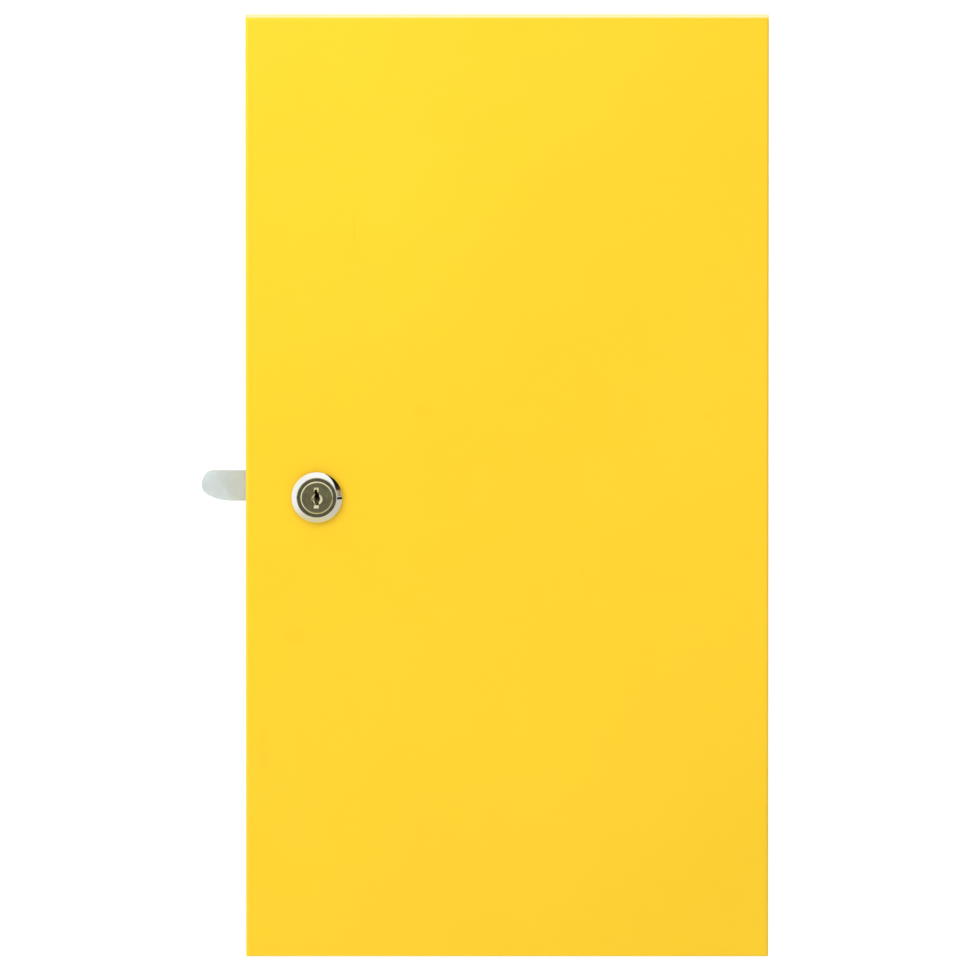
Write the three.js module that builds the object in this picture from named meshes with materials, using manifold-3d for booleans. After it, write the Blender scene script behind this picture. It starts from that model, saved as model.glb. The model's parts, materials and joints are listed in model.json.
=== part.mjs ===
// A letterbox door: a folded sheet-steel door leaf on two hidden butt hinges, with a quarter-turn cam lock.
//
// Millimetres. The door is laid out from its lower left front corner: X to the right, Y back from the
// front face, Z up. The last lines move the origin to the seat of the lower hinge's case-side leaf.
// The door is shown closed and locked, with the cam pointing left.

import * as THREE from 'three';
import { mergeVertices } from 'three/addons/utils/BufferGeometryUtils.js';
import Module from 'manifold-3d';

const wasm = await Module();
wasm.setup();

const CLEARANCE = 0.3; // gap kept between pieces that touch
const PAST = 1; // how far a cutter runs past the face that it cuts
const X_AXIS = new THREE.Vector3(1, 0, 0);
const Y_AXIS = new THREE.Vector3(0, 1, 0);
const Z_AXIS = new THREE.Vector3(0, 0, 1);

// Door pan
const DOOR_WIDTH = 250;
const DOOR_HEIGHT = 452;
const DOOR_DEPTH = 16;
const SHEET = 1.2;
const FOLD_RADIUS = 1.8; // outside of each fold
const CORNER_SLIT = 0.5; // open seam between two neighbouring flanges
const RELIEF_RADIUS = 0.9; // round end of each seam, at the folds

// Hinges
const HINGE_INSET = 60; // from each end of the door to the middle of the hinge near it
const HINGE_HEIGHTS = { lower: HINGE_INSET, upper: DOOR_HEIGHT - HINGE_INSET };
const LEAF_HEIGHT = 50;
const LEAF_SHEET = 1.2;
const HINGE_PIN_RADIUS = 1.5;
const KNUCKLE_BORE_RADIUS = HINGE_PIN_RADIUS + CLEARANCE;
const KNUCKLE_RADIUS = KNUCKLE_BORE_RADIUS + LEAF_SHEET;
const KNUCKLE_HEIGHT = 18; // the door leaf's one knuckle, between the case leaf's two
const KNUCKLE_GAP = 0.4;
const KNUCKLE_ROOM = KNUCKLE_RADIUS + 0.6; // where the flat of a leaf starts, from the axis
const SEAT_X = DOOR_WIDTH - SHEET - CLEARANCE; // both leaves' outer faces
const AXIS_X = SEAT_X - KNUCKLE_RADIUS;
const AXIS_BEHIND_DOOR = 4.3;
const AXIS_Y = DOOR_DEPTH + AXIS_BEHIND_DOOR;
const DOOR_LEAF_WIDTH = 16.8; // from the axis to the leaf's free edge
const CASE_LEAF_WIDTH = 26;
const CASE_HOLE_BEHIND_AXIS = 15;
const CASE_HOLE_Y = AXIS_Y + CASE_HOLE_BEHIND_AXIS;
const CASE_HOLE_SPACING = 32;
const CASE_HOLE_RADIUS = 2.1;
const CASE_SINK_RADIUS = 4;
const PIN_HEAD_RADIUS = 2.5;
const PIN_HEAD_HEIGHT = 1.2;
const PIN_HEAD_CHAMFER = 0.4;
const PIN_TAIL = 0.8; // peened end below the bottom knuckle
const PIN_TAIL_CHAMFER = 0.3;

// Welded studs and flanged nuts that hold each hinge to the door
const STUD_RADIUS = 1.5;
const STUD_LENGTH = 7.4;
const STUD_CHAMFER = 0.4;
const STUD_Y = 9.5;
const STUD_SPACING = 30;
const NUT_ACROSS_FLATS = 5.5;
const NUT_HEIGHT = 2.8;
const NUT_FLANGE_RADIUS = 3.6;
const NUT_FLANGE_HEIGHT = 0.7;

// Cam lock, turned about a Y axis
const LOCK_X = 34;
const LOCK_Z = 221.6;
const BARREL_RADIUS = 9.3;
const BARREL_FLAT = 8; // half the width across the barrel's two flats
const BARREL_BACK = 15.4;
const BARREL_FRONT = -0.25; // the flats start here, right behind the head
const HEAD_RADIUS = 10.9;
const HEAD_FRONT = -4.1;
const HEAD_FACE_RADIUS = 9.1; // the dark ring seen inside the bezel
const BEZEL_RADIUS = 12.2;
const BEZEL_WALL_FRONT = -2.2; // where its straight wall ends
const BEZEL_SHOULDER = { radius: 11.9, y: -2.65 }; // start of its slope
const BEZEL_CREST = { radius: 9.75, y: -4.4 }; // end of its slope
const BEZEL_SLOPE = (BEZEL_CREST.y - BEZEL_SHOULDER.y) / (BEZEL_CREST.radius - BEZEL_SHOULDER.radius);
const BEZEL_OPENING_RADIUS = 9.4;
const BEZEL_THICKNESS = 0.9;
const BEZEL_LIP = 0.25; // rounding of the edge round the opening
const PLUG_RADIUS = 7;
const PLUG_FACE_RADIUS = 7.85;
const PLUG_FRONT = -4.2;
const PLUG_FACE_CHAMFER = 0.4;
const PLUG_SHOULDER_Y = -0.5; // back of the plug's wide face
const COUNTERBORE_FLOOR = PLUG_SHOULDER_Y + CLEARANCE;
const DISH = { outerRadius: 2.8, innerRadius: 1.7, depth: 0.8, below: 0.5 }; // sunk round the keyhole
const PLUG_BACK = 15.7;
const STUB_SIZE = 7; // square drive behind the plug
const STUB_RADIUS = 4.7; // rounds the drive's corners
const STUB_BACK = 19;
const SCREW_RADIUS = 2.5;
const SCREW_HOLE_BOTTOM = 13.2;
const KEYWAY_BACK = 12.5;
const WAFER_COUNT = 5;
const WAFER_FIRST_Y = 2;
const WAFER_PITCH = 2.2;
const WAFER_THICKNESS = 1;
const WAFER_WIDTH = 7;
const WAFER_RADIUS = 6.7; // rounds a wafer's two ends
const WAFER_WINDOW = { width: 3.4, top: 4.1 };
const WAFER_SILLS = [-1.5, -2.1, -1.2, -1.8, -2.4]; // lower edge of each window, set by the key's cuts
const WAFER_EAR = { right: 5.3, bottom: -0.5, top: 0.7 };
const SPRING_X = 4.75;
const SPRING_RADIUS = 0.45;
const SPRING_WIRE_RADIUS = 0.13;
const SPRING_BOTTOM = -3.2;
const SPRING_TOP = -0.8;
const SPRING_TURNS = 4;
const SPRING_POCKET = { right: 5.6, bottom: -3.5, top: 1.3 };
const CHAMBER_WIDTH = 8; // grooves in the barrel that the wafers drop into
const CHAMBER_RADIUS = 8.4;
const STOP_INNER_RADIUS = PLUG_RADIUS + CLEARANCE;
const STOP_OUTER_RADIUS = 9;
const STOP_BACK = 16.8;
const LUG_ROOT = 0.2; // how far the stop lug's solid reaches into the barrel
const STOP_HALF_OPENING = 66; // degrees each way from +X that the stop lug leaves open
const TAB_HALF_ANGLE = 18;
const TAB_ANGLE = 45; // at rest, anticlockwise from +X as seen from the front
const STOP_WASHER = { front: 16, back: 17, radius: 6.9, tabRadius: 8.8 };
const CAM_FRONT = 17.3;
const CAM_THICKNESS = 2;
const CAM_HUB_RADIUS = 9;
const CAM_REACH = 55.2; // from the lock's axis to the tip
const CAM_TOP = 10.75;
const CAM_BOTTOM = -3.75;
const CAM_CORNER_RADIUS = 8.5; // where the arm's top edge runs into the hub
const CAM_TIP = { top: 6.1, bottom: 14.7, middle: 3.3 }; // lengths and level of its quarter-ellipses
const CAM_CREASE = { top: 6.5, bottom: 15 }; // how far the bend starts from the tip, at each edge
const CAM_BEND = THREE.MathUtils.degToRad(7); // the tip is bent back a little as a lead-in
const SPRING_WASHER = { front: 19.6, back: 20.8, inner: 2.8, outer: 4.9, split: 0.8 };
const SCREW_HEAD_FRONT = 21.1;
const SCREW_HEAD_BACK = 24.2;
const SCREW_HEAD_RADIUS = 4.6;
const SCREW_TIP = 13.6;
const SCREW_TIP_CHAMFER = 0.5;
const SCREW_DOME = 1.2; // straight side of the head under its dome
const CROSS_RECESS = { half: 2.1, halfWidth: 0.5, depth: 1.6 };
const TOOTH_WASHER = { front: 1.5, back: 2.4, inner: 9.6, root: 11.9, tip: 13, teeth: 16 };
const LOCK_NUT = { front: 2.7, back: 6.2, inner: 9.6, acrossFlats: 24, chamfer: 0.6, faceRadius: 12.2 };

const material = (color, roughness, metalness) =>
  new THREE.MeshStandardMaterial({ color, roughness, metalness });
const YELLOW_PAINT = material(0xfdd93c, 0.35, 0);
const CHROME = material(0xe8e8ea, 0.06, 1);
const NICKEL = material(0x8d8873, 0.4, 1);
const ZINC_PLATE = material(0xc9d0cc, 0.35, 1);
const BRASS = material(0xc9a24a, 0.35, 1);
const SPRING_STEEL = material(0x9aa0a6, 0.3, 1);

// ---- Solids ----

/** Closed geometry to a solid, with shared corners merged and needle faces at poles dropped. */
function toSolid(geometry) {
  const bare = geometry.clone();
  bare.deleteAttribute('normal');
  bare.deleteAttribute('uv');
  const merged = mergeVertices(bare, 1e-4);
  const corners = merged.index.array;
  const triVerts = [];
  for (let i = 0; i < corners.length; i += 3) {
    const [a, b, c] = corners.slice(i, i + 3);
    if (a !== b && b !== c && c !== a) triVerts.push(a, b, c);
  }
  const mesh = new wasm.Mesh({
    numProp: 3,
    vertProperties: new Float32Array(merged.getAttribute('position').array),
    triVerts: new Uint32Array(triVerts),
  });
  return new wasm.Manifold(mesh);
}

function toGeometry(solid) {
  const mesh = solid.getMesh();
  const geometry = new THREE.BufferGeometry();
  geometry.setAttribute('position', new THREE.BufferAttribute(mesh.vertProperties, 3));
  geometry.setIndex(new THREE.BufferAttribute(mesh.triVerts, 1));
  const facets = geometry.toNonIndexed();
  facets.computeVertexNormals();
  return facets;
}

const join = (...solids) => solids.reduce((whole, next) => whole.add(next));
const cut = (solid, ...cutters) => cutters.reduce((left, cutter) => left.subtract(cutter), solid);

function box(x, y, z) {
  const geometry = new THREE.BoxGeometry(x[1] - x[0], y[1] - y[0], z[1] - z[0]);
  geometry.translate((x[0] + x[1]) / 2, (y[0] + y[1]) / 2, (z[0] + z[1]) / 2);
  return toSolid(geometry);
}

/** Pushes a flat shape along the third of three axes: the first two carry the shape's own x and y. */
function push(shape, across, up, depth, curveSegments) {
  const geometry = new THREE.ExtrudeGeometry(shape, { depth, bevelEnabled: false, curveSegments });
  const along = new THREE.Vector3().crossVectors(across, up);
  return geometry.applyMatrix4(new THREE.Matrix4().makeBasis(across, up, along));
}

const pushAlongX = (shape, x0, x1, segments = 12) =>
  toSolid(push(shape, Y_AXIS, Z_AXIS, x1 - x0, segments).translate(x0, 0, 0));
const pushAlongY = (shape, y0, y1, segments = 12) =>
  toSolid(push(shape, X_AXIS, Z_AXIS, y1 - y0, segments).translate(0, y1, 0));
const pushAlongZ = (shape, z0, z1, segments = 12) =>
  toSolid(push(shape, X_AXIS, Y_AXIS, z1 - z0, segments).translate(0, 0, z0));

/** Turns a closed profile of [radius, y] corners about the Y axis, whichever way round it is listed. */
function turn(profile, segments = 36) {
  const corners = profile.map(([radius, y]) => new THREE.Vector2(radius, y));
  if (THREE.ShapeUtils.isClockWise(corners)) corners.reverse();
  return toSolid(new THREE.LatheGeometry([...corners, corners[0]], segments));
}

const disc = (radius, y0, y1, segments) => turn([[0, y0], [radius, y0], [radius, y1], [0, y1]], segments);

/** A turned solid laid along X, with its profile's y measured along X from x = 0. */
const layAlongX = (solid) => solid.rotate([0, 0, -90]);

function polygon(points) {
  return new THREE.Shape(points.map(([x, y]) => new THREE.Vector2(x, y)));
}

function circle(radius, x = 0, y = 0) {
  const shape = new THREE.Shape();
  shape.absarc(x, y, radius, 0, 2 * Math.PI, false);
  return shape;
}

function hexagon(acrossFlats) {
  const radius = acrossFlats / Math.sqrt(3);
  const corner = (n) => [radius * Math.cos((n * Math.PI) / 3), radius * Math.sin((n * Math.PI) / 3)];
  return polygon([0, 1, 2, 3, 4, 5].map(corner));
}

/** Circle with its left and right sides cut off flat. */
function doubleD(radius, flat) {
  const start = Math.acos(flat / radius);
  const shape = new THREE.Shape();
  shape.absarc(0, 0, radius, start, Math.PI - start, false);
  shape.absarc(0, 0, radius, Math.PI + start, 2 * Math.PI - start, false);
  return shape;
}

/** Part of a ring, between two angles in degrees. */
function ringSector(inner, outer, from, to) {
  const [start, end] = [from, to].map(THREE.MathUtils.degToRad);
  const shape = new THREE.Shape();
  shape.absarc(0, 0, outer, start, end, false);
  shape.absarc(0, 0, inner, end, start, true);
  return shape;
}

// ---- Door ----

/** Rectangle whose two front corners are rounded; u runs along the front, v runs back. */
function foldedOutline(length, inset, back) {
  const radius = FOLD_RADIUS - inset;
  const shape = new THREE.Shape();
  shape.moveTo(inset, back);
  shape.lineTo(inset, FOLD_RADIUS);
  shape.absarc(FOLD_RADIUS, FOLD_RADIUS, radius, Math.PI, 1.5 * Math.PI, false);
  shape.absarc(length - FOLD_RADIUS, FOLD_RADIUS, radius, 1.5 * Math.PI, 2 * Math.PI, false);
  shape.lineTo(length - inset, back);
  return shape;
}

/** Block with four rounded front edges: the outside of the pan, or its inside once inset. */
function foldedBlock(inset, back) {
  const upright = pushAlongZ(foldedOutline(DOOR_WIDTH, inset, back), inset, DOOR_HEIGHT - inset, 6);
  const level = push(foldedOutline(DOOR_HEIGHT, inset, back), Z_AXIS, Y_AXIS, DOOR_WIDTH - 2 * inset, 6);
  return upright.intersect(toSolid(level.translate(DOOR_WIDTH - inset, 0, 0)));
}

/** Open seam at one corner, with a round end where the two folds meet. */
function cornerSlit(right, top) {
  const x = right ? DOOR_WIDTH - SHEET - CORNER_SLIT : SHEET;
  const z = top ? [DOOR_HEIGHT - SHEET - PAST, DOOR_HEIGHT + PAST] : [-PAST, SHEET + PAST];
  const relief = circle(RELIEF_RADIUS, x + CORNER_SLIT / 2, FOLD_RADIUS + RELIEF_RADIUS);
  return join(
    box([x, x + CORNER_SLIT], [FOLD_RADIUS + RELIEF_RADIUS, DOOR_DEPTH + PAST], z),
    pushAlongZ(relief, z[0], z[1], 4),
  );
}

function doorPanel() {
  const lockHole = doubleD(BARREL_RADIUS + CLEARANCE, BARREL_FLAT + CLEARANCE);
  const pan = cut(
    foldedBlock(0, DOOR_DEPTH),
    foldedBlock(SHEET, DOOR_DEPTH + PAST),
    pushAlongY(lockHole, -PAST, SHEET + PAST, 16).translate([LOCK_X, 0, LOCK_Z]),
  );
  const corners = [[false, false], [false, true], [true, false], [true, true]];
  return cut(pan, ...corners.map(([right, top]) => cornerSlit(right, top)));
}

// ---- Hinges, made about their own axis at the middle of their height ----

/** Plan of a leaf's knuckle with the start of its flat, which lies forward (-1) or back (1). */
function knucklePlan(side) {
  const inner = KNUCKLE_RADIUS - LEAF_SHEET;
  const end = 2 * Math.PI - Math.acos(inner / KNUCKLE_RADIUS);
  const shape = new THREE.Shape();
  shape.moveTo(KNUCKLE_RADIUS, side * (KNUCKLE_ROOM + PAST));
  shape.lineTo(KNUCKLE_RADIUS, 0);
  shape.absarc(0, 0, KNUCKLE_RADIUS, 0, -side * end, side > 0);
  shape.lineTo(inner, side * (KNUCKLE_ROOM + PAST));
  shape.holes.push(circle(KNUCKLE_BORE_RADIUS));
  return shape;
}

function leafFlat(side, width) {
  const ends = [side * KNUCKLE_ROOM, side * width].sort((a, b) => a - b);
  const plan = [KNUCKLE_RADIUS - LEAF_SHEET, KNUCKLE_RADIUS];
  return box(plan, ends, [-LEAF_HEIGHT / 2, LEAF_HEIGHT / 2]);
}

function doorLeaf() {
  const knuckle = pushAlongZ(knucklePlan(-1), -KNUCKLE_HEIGHT / 2, KNUCKLE_HEIGHT / 2, 10);
  const hole = layAlongX(disc(STUD_RADIUS + CLEARANCE, 0, KNUCKLE_RADIUS + PAST, 24));
  const holes = [-1, 1].map((end) => hole.translate([0, STUD_Y - AXIS_Y, (end * STUD_SPACING) / 2]));
  return cut(join(leafFlat(-1, DOOR_LEAF_WIDTH), knuckle), ...holes);
}

function caseLeaf() {
  const inner = KNUCKLE_HEIGHT / 2 + KNUCKLE_GAP;
  const knuckles = [[-LEAF_HEIGHT / 2, -inner], [inner, LEAF_HEIGHT / 2]];
  const solid = join(
    leafFlat(1, CASE_LEAF_WIDTH),
    ...knuckles.map(([z0, z1]) => pushAlongZ(knucklePlan(1), z0, z1, 10)),
  );
  const flatInside = KNUCKLE_RADIUS - LEAF_SHEET;
  const sink = layAlongX(turn([
    [0, flatInside - PAST],
    [CASE_SINK_RADIUS + PAST, flatInside - PAST], // widens with its slope past the face
    [CASE_HOLE_RADIUS, KNUCKLE_RADIUS - CLEARANCE],
    [CASE_HOLE_RADIUS, KNUCKLE_RADIUS + PAST],
    [0, KNUCKLE_RADIUS + PAST],
  ], 24));
  const ends = [-1, 1];
  const holes = ends.map((end) => sink.translate([0, CASE_HOLE_Y - AXIS_Y, (end * CASE_HOLE_SPACING) / 2]));
  return cut(solid, ...holes);
}

/** Headed pin: the head rests on the top knuckle and the peened end shows below the bottom one. */
function hingePin() {
  const top = LEAF_HEIGHT / 2 + CLEARANCE;
  const bottom = -LEAF_HEIGHT / 2 - PIN_TAIL;
  return turn([
    [0, bottom],
    [HINGE_PIN_RADIUS - PIN_TAIL_CHAMFER, bottom],
    [HINGE_PIN_RADIUS, bottom + PIN_TAIL_CHAMFER],
    [HINGE_PIN_RADIUS, top],
    [PIN_HEAD_RADIUS, top],
    [PIN_HEAD_RADIUS, top + PIN_HEAD_HEIGHT - PIN_HEAD_CHAMFER],
    [PIN_HEAD_RADIUS - PIN_HEAD_CHAMFER, top + PIN_HEAD_HEIGHT],
    [0, top + PIN_HEAD_HEIGHT],
  ], 18).rotate([90, 0, 0]);
}

/** Welded stud, pointing away from the flange, towards -X from x = 0. */
function hingeStud() {
  return turn([
    [0, -STUD_LENGTH],
    [STUD_RADIUS - STUD_CHAMFER, -STUD_LENGTH],
    [STUD_RADIUS, STUD_CHAMFER - STUD_LENGTH],
    [STUD_RADIUS, 0],
    [0, 0],
  ], 20).rotate([0, 0, -90]);
}

/** Flanged hexagon nut, its flange at x = 0 and its hexagon towards -X. */
function hingeNut() {
  const bore = layAlongX(disc(STUD_RADIUS + CLEARANCE, -NUT_HEIGHT - PAST, PAST, 20));
  const flange = layAlongX(disc(NUT_FLANGE_RADIUS, -NUT_FLANGE_HEIGHT, 0, 24));
  const hex = pushAlongX(hexagon(NUT_ACROSS_FLATS), -NUT_HEIGHT, -NUT_FLANGE_HEIGHT / 2);
  return cut(join(flange, hex), bore);
}

// ---- Lock, made about its own axis; y keeps the door's own depths ----

/** Depth at which a surface lies below the bezel's outer slope, measured square to that slope. */
function underBezel(radius, distance) {
  const outside = BEZEL_SHOULDER.y + (radius - BEZEL_SHOULDER.radius) * BEZEL_SLOPE;
  return outside + distance * Math.hypot(1, BEZEL_SLOPE);
}

/** Chromed ring pressed over the lock's head: a short wall, then a slope that rises to the opening. */
function lockBezel() {
  const wall = HEAD_RADIUS + CLEARANCE;
  return turn([
    [wall, -CLEARANCE],
    [wall, underBezel(wall, BEZEL_THICKNESS)],
    [BEZEL_OPENING_RADIUS, underBezel(BEZEL_OPENING_RADIUS, BEZEL_THICKNESS)],
    [BEZEL_OPENING_RADIUS, BEZEL_CREST.y + BEZEL_LIP],
    [BEZEL_CREST.radius, BEZEL_CREST.y],
    [BEZEL_SHOULDER.radius, BEZEL_SHOULDER.y],
    [BEZEL_RADIUS, BEZEL_WALL_FRONT],
    [BEZEL_RADIUS, -CLEARANCE],
  ], 40);
}

/** Threaded barrel with two flats, a flanged head, wafer chambers and the quarter-turn stop lug. */
function lockHousing() {
  const bore = PLUG_RADIUS + CLEARANCE;
  const counterbore = PLUG_FACE_RADIUS + CLEARANCE;
  const belowBezel = BEZEL_THICKNESS + CLEARANCE;
  const body = turn([
    [counterbore, HEAD_FRONT],
    [HEAD_FACE_RADIUS, HEAD_FRONT],
    [HEAD_FACE_RADIUS, underBezel(HEAD_FACE_RADIUS, belowBezel)],
    [HEAD_RADIUS, underBezel(HEAD_RADIUS, belowBezel)],
    [HEAD_RADIUS, -CLEARANCE],
    [BARREL_RADIUS, -CLEARANCE],
    [BARREL_RADIUS, BARREL_BACK],
    [bore, BARREL_BACK],
    [bore, COUNTERBORE_FLOOR],
    [counterbore, COUNTERBORE_FLOOR],
  ], 40);
  const lug = ringSector(STOP_INNER_RADIUS, STOP_OUTER_RADIUS, STOP_HALF_OPENING, 360 - STOP_HALF_OPENING);
  const chamberRing = turn([
    [bore - PAST, WAFER_FIRST_Y - 1],
    [CHAMBER_RADIUS, WAFER_FIRST_Y - 1],
    [CHAMBER_RADIUS, KEYWAY_BACK],
    [bore - PAST, KEYWAY_BACK],
  ]);
  const fullHeight = [-BARREL_RADIUS, BARREL_RADIUS];
  const slab = box([-CHAMBER_WIDTH / 2, CHAMBER_WIDTH / 2], [0, BARREL_BACK], fullHeight);
  const beyondFlat = [BARREL_FLAT, BARREL_RADIUS + PAST];
  const side = box(beyondFlat, [BARREL_FRONT, STOP_BACK + PAST], fullHeight);
  return cut(
    join(body, pushAlongY(lug, BARREL_BACK - LUG_ROOT, STOP_BACK, 10)),
    chamberRing.intersect(slab),
    side,
    side.mirror([1, 0, 0]),
  );
}

/** Outline of the keyway: a narrow blade slot with a wider stretch and one ward each side. */
function keywayOutline() {
  return polygon([
    [-1.1, 3.9], [0.2, 3.9], [0.2, 2.5], [1.15, 1.6], [1.15, -1.6], [0.95, -1.8],
    [0.95, -3.6], [-0.6, -3.6], [-0.6, -2.9], [-1.1, -2.6], [-1.1, -1.2], [-0.8, -0.9],
    [-0.8, -0.2], [-1.15, 0.1], [-1.15, 1.2], [-0.8, 1.5], [-0.8, 2.1], [-1.1, 2.4],
  ]);
}

const waferY = (index) => WAFER_FIRST_Y + index * WAFER_PITCH;

/** Turned plug with the keyway, wafer slots, spring pockets, square drive and screw hole. */
function keyPlug() {
  const body = turn([
    [0, PLUG_FRONT],
    [PLUG_FACE_RADIUS - PLUG_FACE_CHAMFER, PLUG_FRONT],
    [PLUG_FACE_RADIUS, PLUG_FRONT + PLUG_FACE_CHAMFER],
    [PLUG_FACE_RADIUS, PLUG_SHOULDER_Y],
    [PLUG_RADIUS, PLUG_SHOULDER_Y],
    [PLUG_RADIUS, PLUG_BACK],
    [0, PLUG_BACK],
  ]);
  const half = STUB_SIZE / 2;
  const stub = box([-half, half], [PLUG_BACK - PAST, STUB_BACK], [-half, half]);
  const stubRound = disc(STUB_RADIUS, PLUG_BACK - PAST, STUB_BACK);
  const dish = turn([
    [0, PLUG_FRONT - PAST],
    [DISH.outerRadius, PLUG_FRONT - PAST],
    [DISH.outerRadius, PLUG_FRONT],
    [DISH.innerRadius, PLUG_FRONT + DISH.depth],
    [0, PLUG_FRONT + DISH.depth],
  ], 32).translate([0, 0, -DISH.below]);
  const room = WAFER_THICKNESS / 2 + CLEARANCE;
  const slotWidth = WAFER_WIDTH / 2 + CLEARANCE;
  const slots = [];
  for (let i = 0; i < WAFER_COUNT; i += 1) {
    const y = [waferY(i) - room, waferY(i) + room];
    slots.push(box([-slotWidth, slotWidth], y, [-PLUG_RADIUS - PAST, PLUG_RADIUS + PAST]));
    slots.push(box([0, SPRING_POCKET.right], y, [SPRING_POCKET.bottom, SPRING_POCKET.top]));
  }
  return cut(
    join(body, stub.intersect(stubRound)),
    pushAlongY(keywayOutline(), PLUG_FRONT - PAST, KEYWAY_BACK),
    dish,
    disc(SCREW_RADIUS + CLEARANCE, SCREW_HOLE_BOTTOM, STUB_BACK + PAST, 24),
    ...slots,
  );
}

/** Brass wafer with its key window and the ear that its spring pushes on. */
function wafer(index) {
  const y = [waferY(index) - WAFER_THICKNESS / 2, waferY(index) + WAFER_THICKNESS / 2];
  const plate = box([-WAFER_WIDTH / 2, WAFER_WIDTH / 2], y, [-WAFER_RADIUS, WAFER_RADIUS]);
  const rounded = plate.intersect(disc(WAFER_RADIUS, y[0], y[1], 32));
  const ear = box([0, WAFER_EAR.right], y, [WAFER_EAR.bottom, WAFER_EAR.top]);
  const windowX = [-WAFER_WINDOW.width / 2, WAFER_WINDOW.width / 2];
  const windowY = [y[0] - PAST, y[1] + PAST];
  return cut(join(rounded, ear), box(windowX, windowY, [WAFER_SILLS[index], WAFER_WINDOW.top]));
}

class Helix extends THREE.Curve {
  getPoint(t, target = new THREE.Vector3()) {
    const angle = 2 * Math.PI * SPRING_TURNS * t;
    const bottom = SPRING_BOTTOM + SPRING_WIRE_RADIUS;
    const rise = SPRING_TOP - SPRING_WIRE_RADIUS - bottom;
    return target.set(SPRING_RADIUS * Math.cos(angle), SPRING_RADIUS * Math.sin(angle), bottom + rise * t);
  }
}

function waferSpring() {
  const wireQuarters = 2;
  const stepsPerTurn = 6;
  const geometry = new THREE.ExtrudeGeometry(circle(SPRING_WIRE_RADIUS), {
    steps: SPRING_TURNS * stepsPerTurn,
    curveSegments: wireQuarters,
    extrudePath: new Helix(),
  });
  return toSolid(geometry);
}

function stopWasher() {
  const { front, back, radius, tabRadius } = STOP_WASHER;
  const tab = ringSector(radius - PAST, tabRadius, TAB_ANGLE - TAB_HALF_ANGLE, TAB_ANGLE + TAB_HALF_ANGLE);
  return cut(join(disc(radius, front, back), pushAlongY(tab, front, back)), driveHole(front, back));
}

function driveHole(front, back) {
  const half = STUB_SIZE / 2 + CLEARANCE;
  return box([-half, half], [front - PAST, back + PAST], [-half, half]);
}

/** The cam's outline in front view, from its hub to the line where the tip is bent. */
function camArmOutline(creaseTop, creaseBottom) {
  const shape = new THREE.Shape();
  const cornerX = CAM_HUB_RADIUS - CAM_CORNER_RADIUS;
  shape.moveTo(creaseTop, CAM_TOP);
  shape.lineTo(cornerX, CAM_TOP);
  shape.absarc(cornerX, CAM_TOP - CAM_CORNER_RADIUS, CAM_CORNER_RADIUS, Math.PI / 2, 0, true);
  shape.lineTo(CAM_HUB_RADIUS, 0);
  shape.absarc(0, 0, CAM_HUB_RADIUS, 0, -Math.PI + Math.asin(-CAM_BOTTOM / CAM_HUB_RADIUS), true);
  shape.lineTo(creaseBottom, CAM_BOTTOM);
  return shape;
}

/** Tip of the cam: a tight quarter-ellipse above and a long, low one below. */
function camTipOutline(creaseTop, creaseBottom) {
  const { top, bottom, middle } = CAM_TIP;
  const [topX, bottomX] = [top - CAM_REACH, bottom - CAM_REACH];
  const shape = new THREE.Shape();
  shape.moveTo(creaseTop, CAM_TOP);
  shape.lineTo(topX, CAM_TOP);
  shape.absellipse(topX, middle, top, CAM_TOP - middle, Math.PI / 2, Math.PI, false, 0);
  shape.absellipse(bottomX, middle, bottom, middle - CAM_BOTTOM, Math.PI, 1.5 * Math.PI, false, 0);
  shape.lineTo(creaseBottom, CAM_BOTTOM);
  return shape;
}

/** Flat cam with a square hole, an arm set above the lock's axis and a tip bent back for lead-in. */
function lockCam() {
  const creaseTop = CAM_CREASE.top - CAM_REACH;
  const creaseBottom = CAM_CREASE.bottom - CAM_REACH;
  const back = CAM_FRONT + CAM_THICKNESS;
  const arm = pushAlongY(camArmOutline(creaseTop, creaseBottom), CAM_FRONT, back, 10);
  const tip = push(camTipOutline(creaseTop, creaseBottom), X_AXIS, Z_AXIS, CAM_THICKNESS, 10);
  tip.translate(0, back, 0);
  const crease = new THREE.Vector2(creaseBottom - creaseTop, CAM_BOTTOM - CAM_TOP).normalize();
  const corners = tip.getAttribute('position');
  for (let i = 0; i < corners.count; i += 1) {
    const fromTop = new THREE.Vector2(corners.getX(i) - creaseTop, corners.getZ(i) - CAM_TOP);
    const beyond = Math.max(0, crease.cross(fromTop) * -1);
    corners.setY(i, corners.getY(i) + beyond * Math.tan(CAM_BEND));
  }
  return cut(join(arm, toSolid(tip)), driveHole(CAM_FRONT, back));
}

function springWasher() {
  const { front, back, inner, outer, split } = SPRING_WASHER;
  const ring = turn([[inner, front], [outer, front], [outer, back], [inner, back]], 36);
  const gap = box([0, outer + PAST], [front - PAST, back + PAST], [-split / 2, split / 2]);
  return cut(ring, gap);
}

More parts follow.
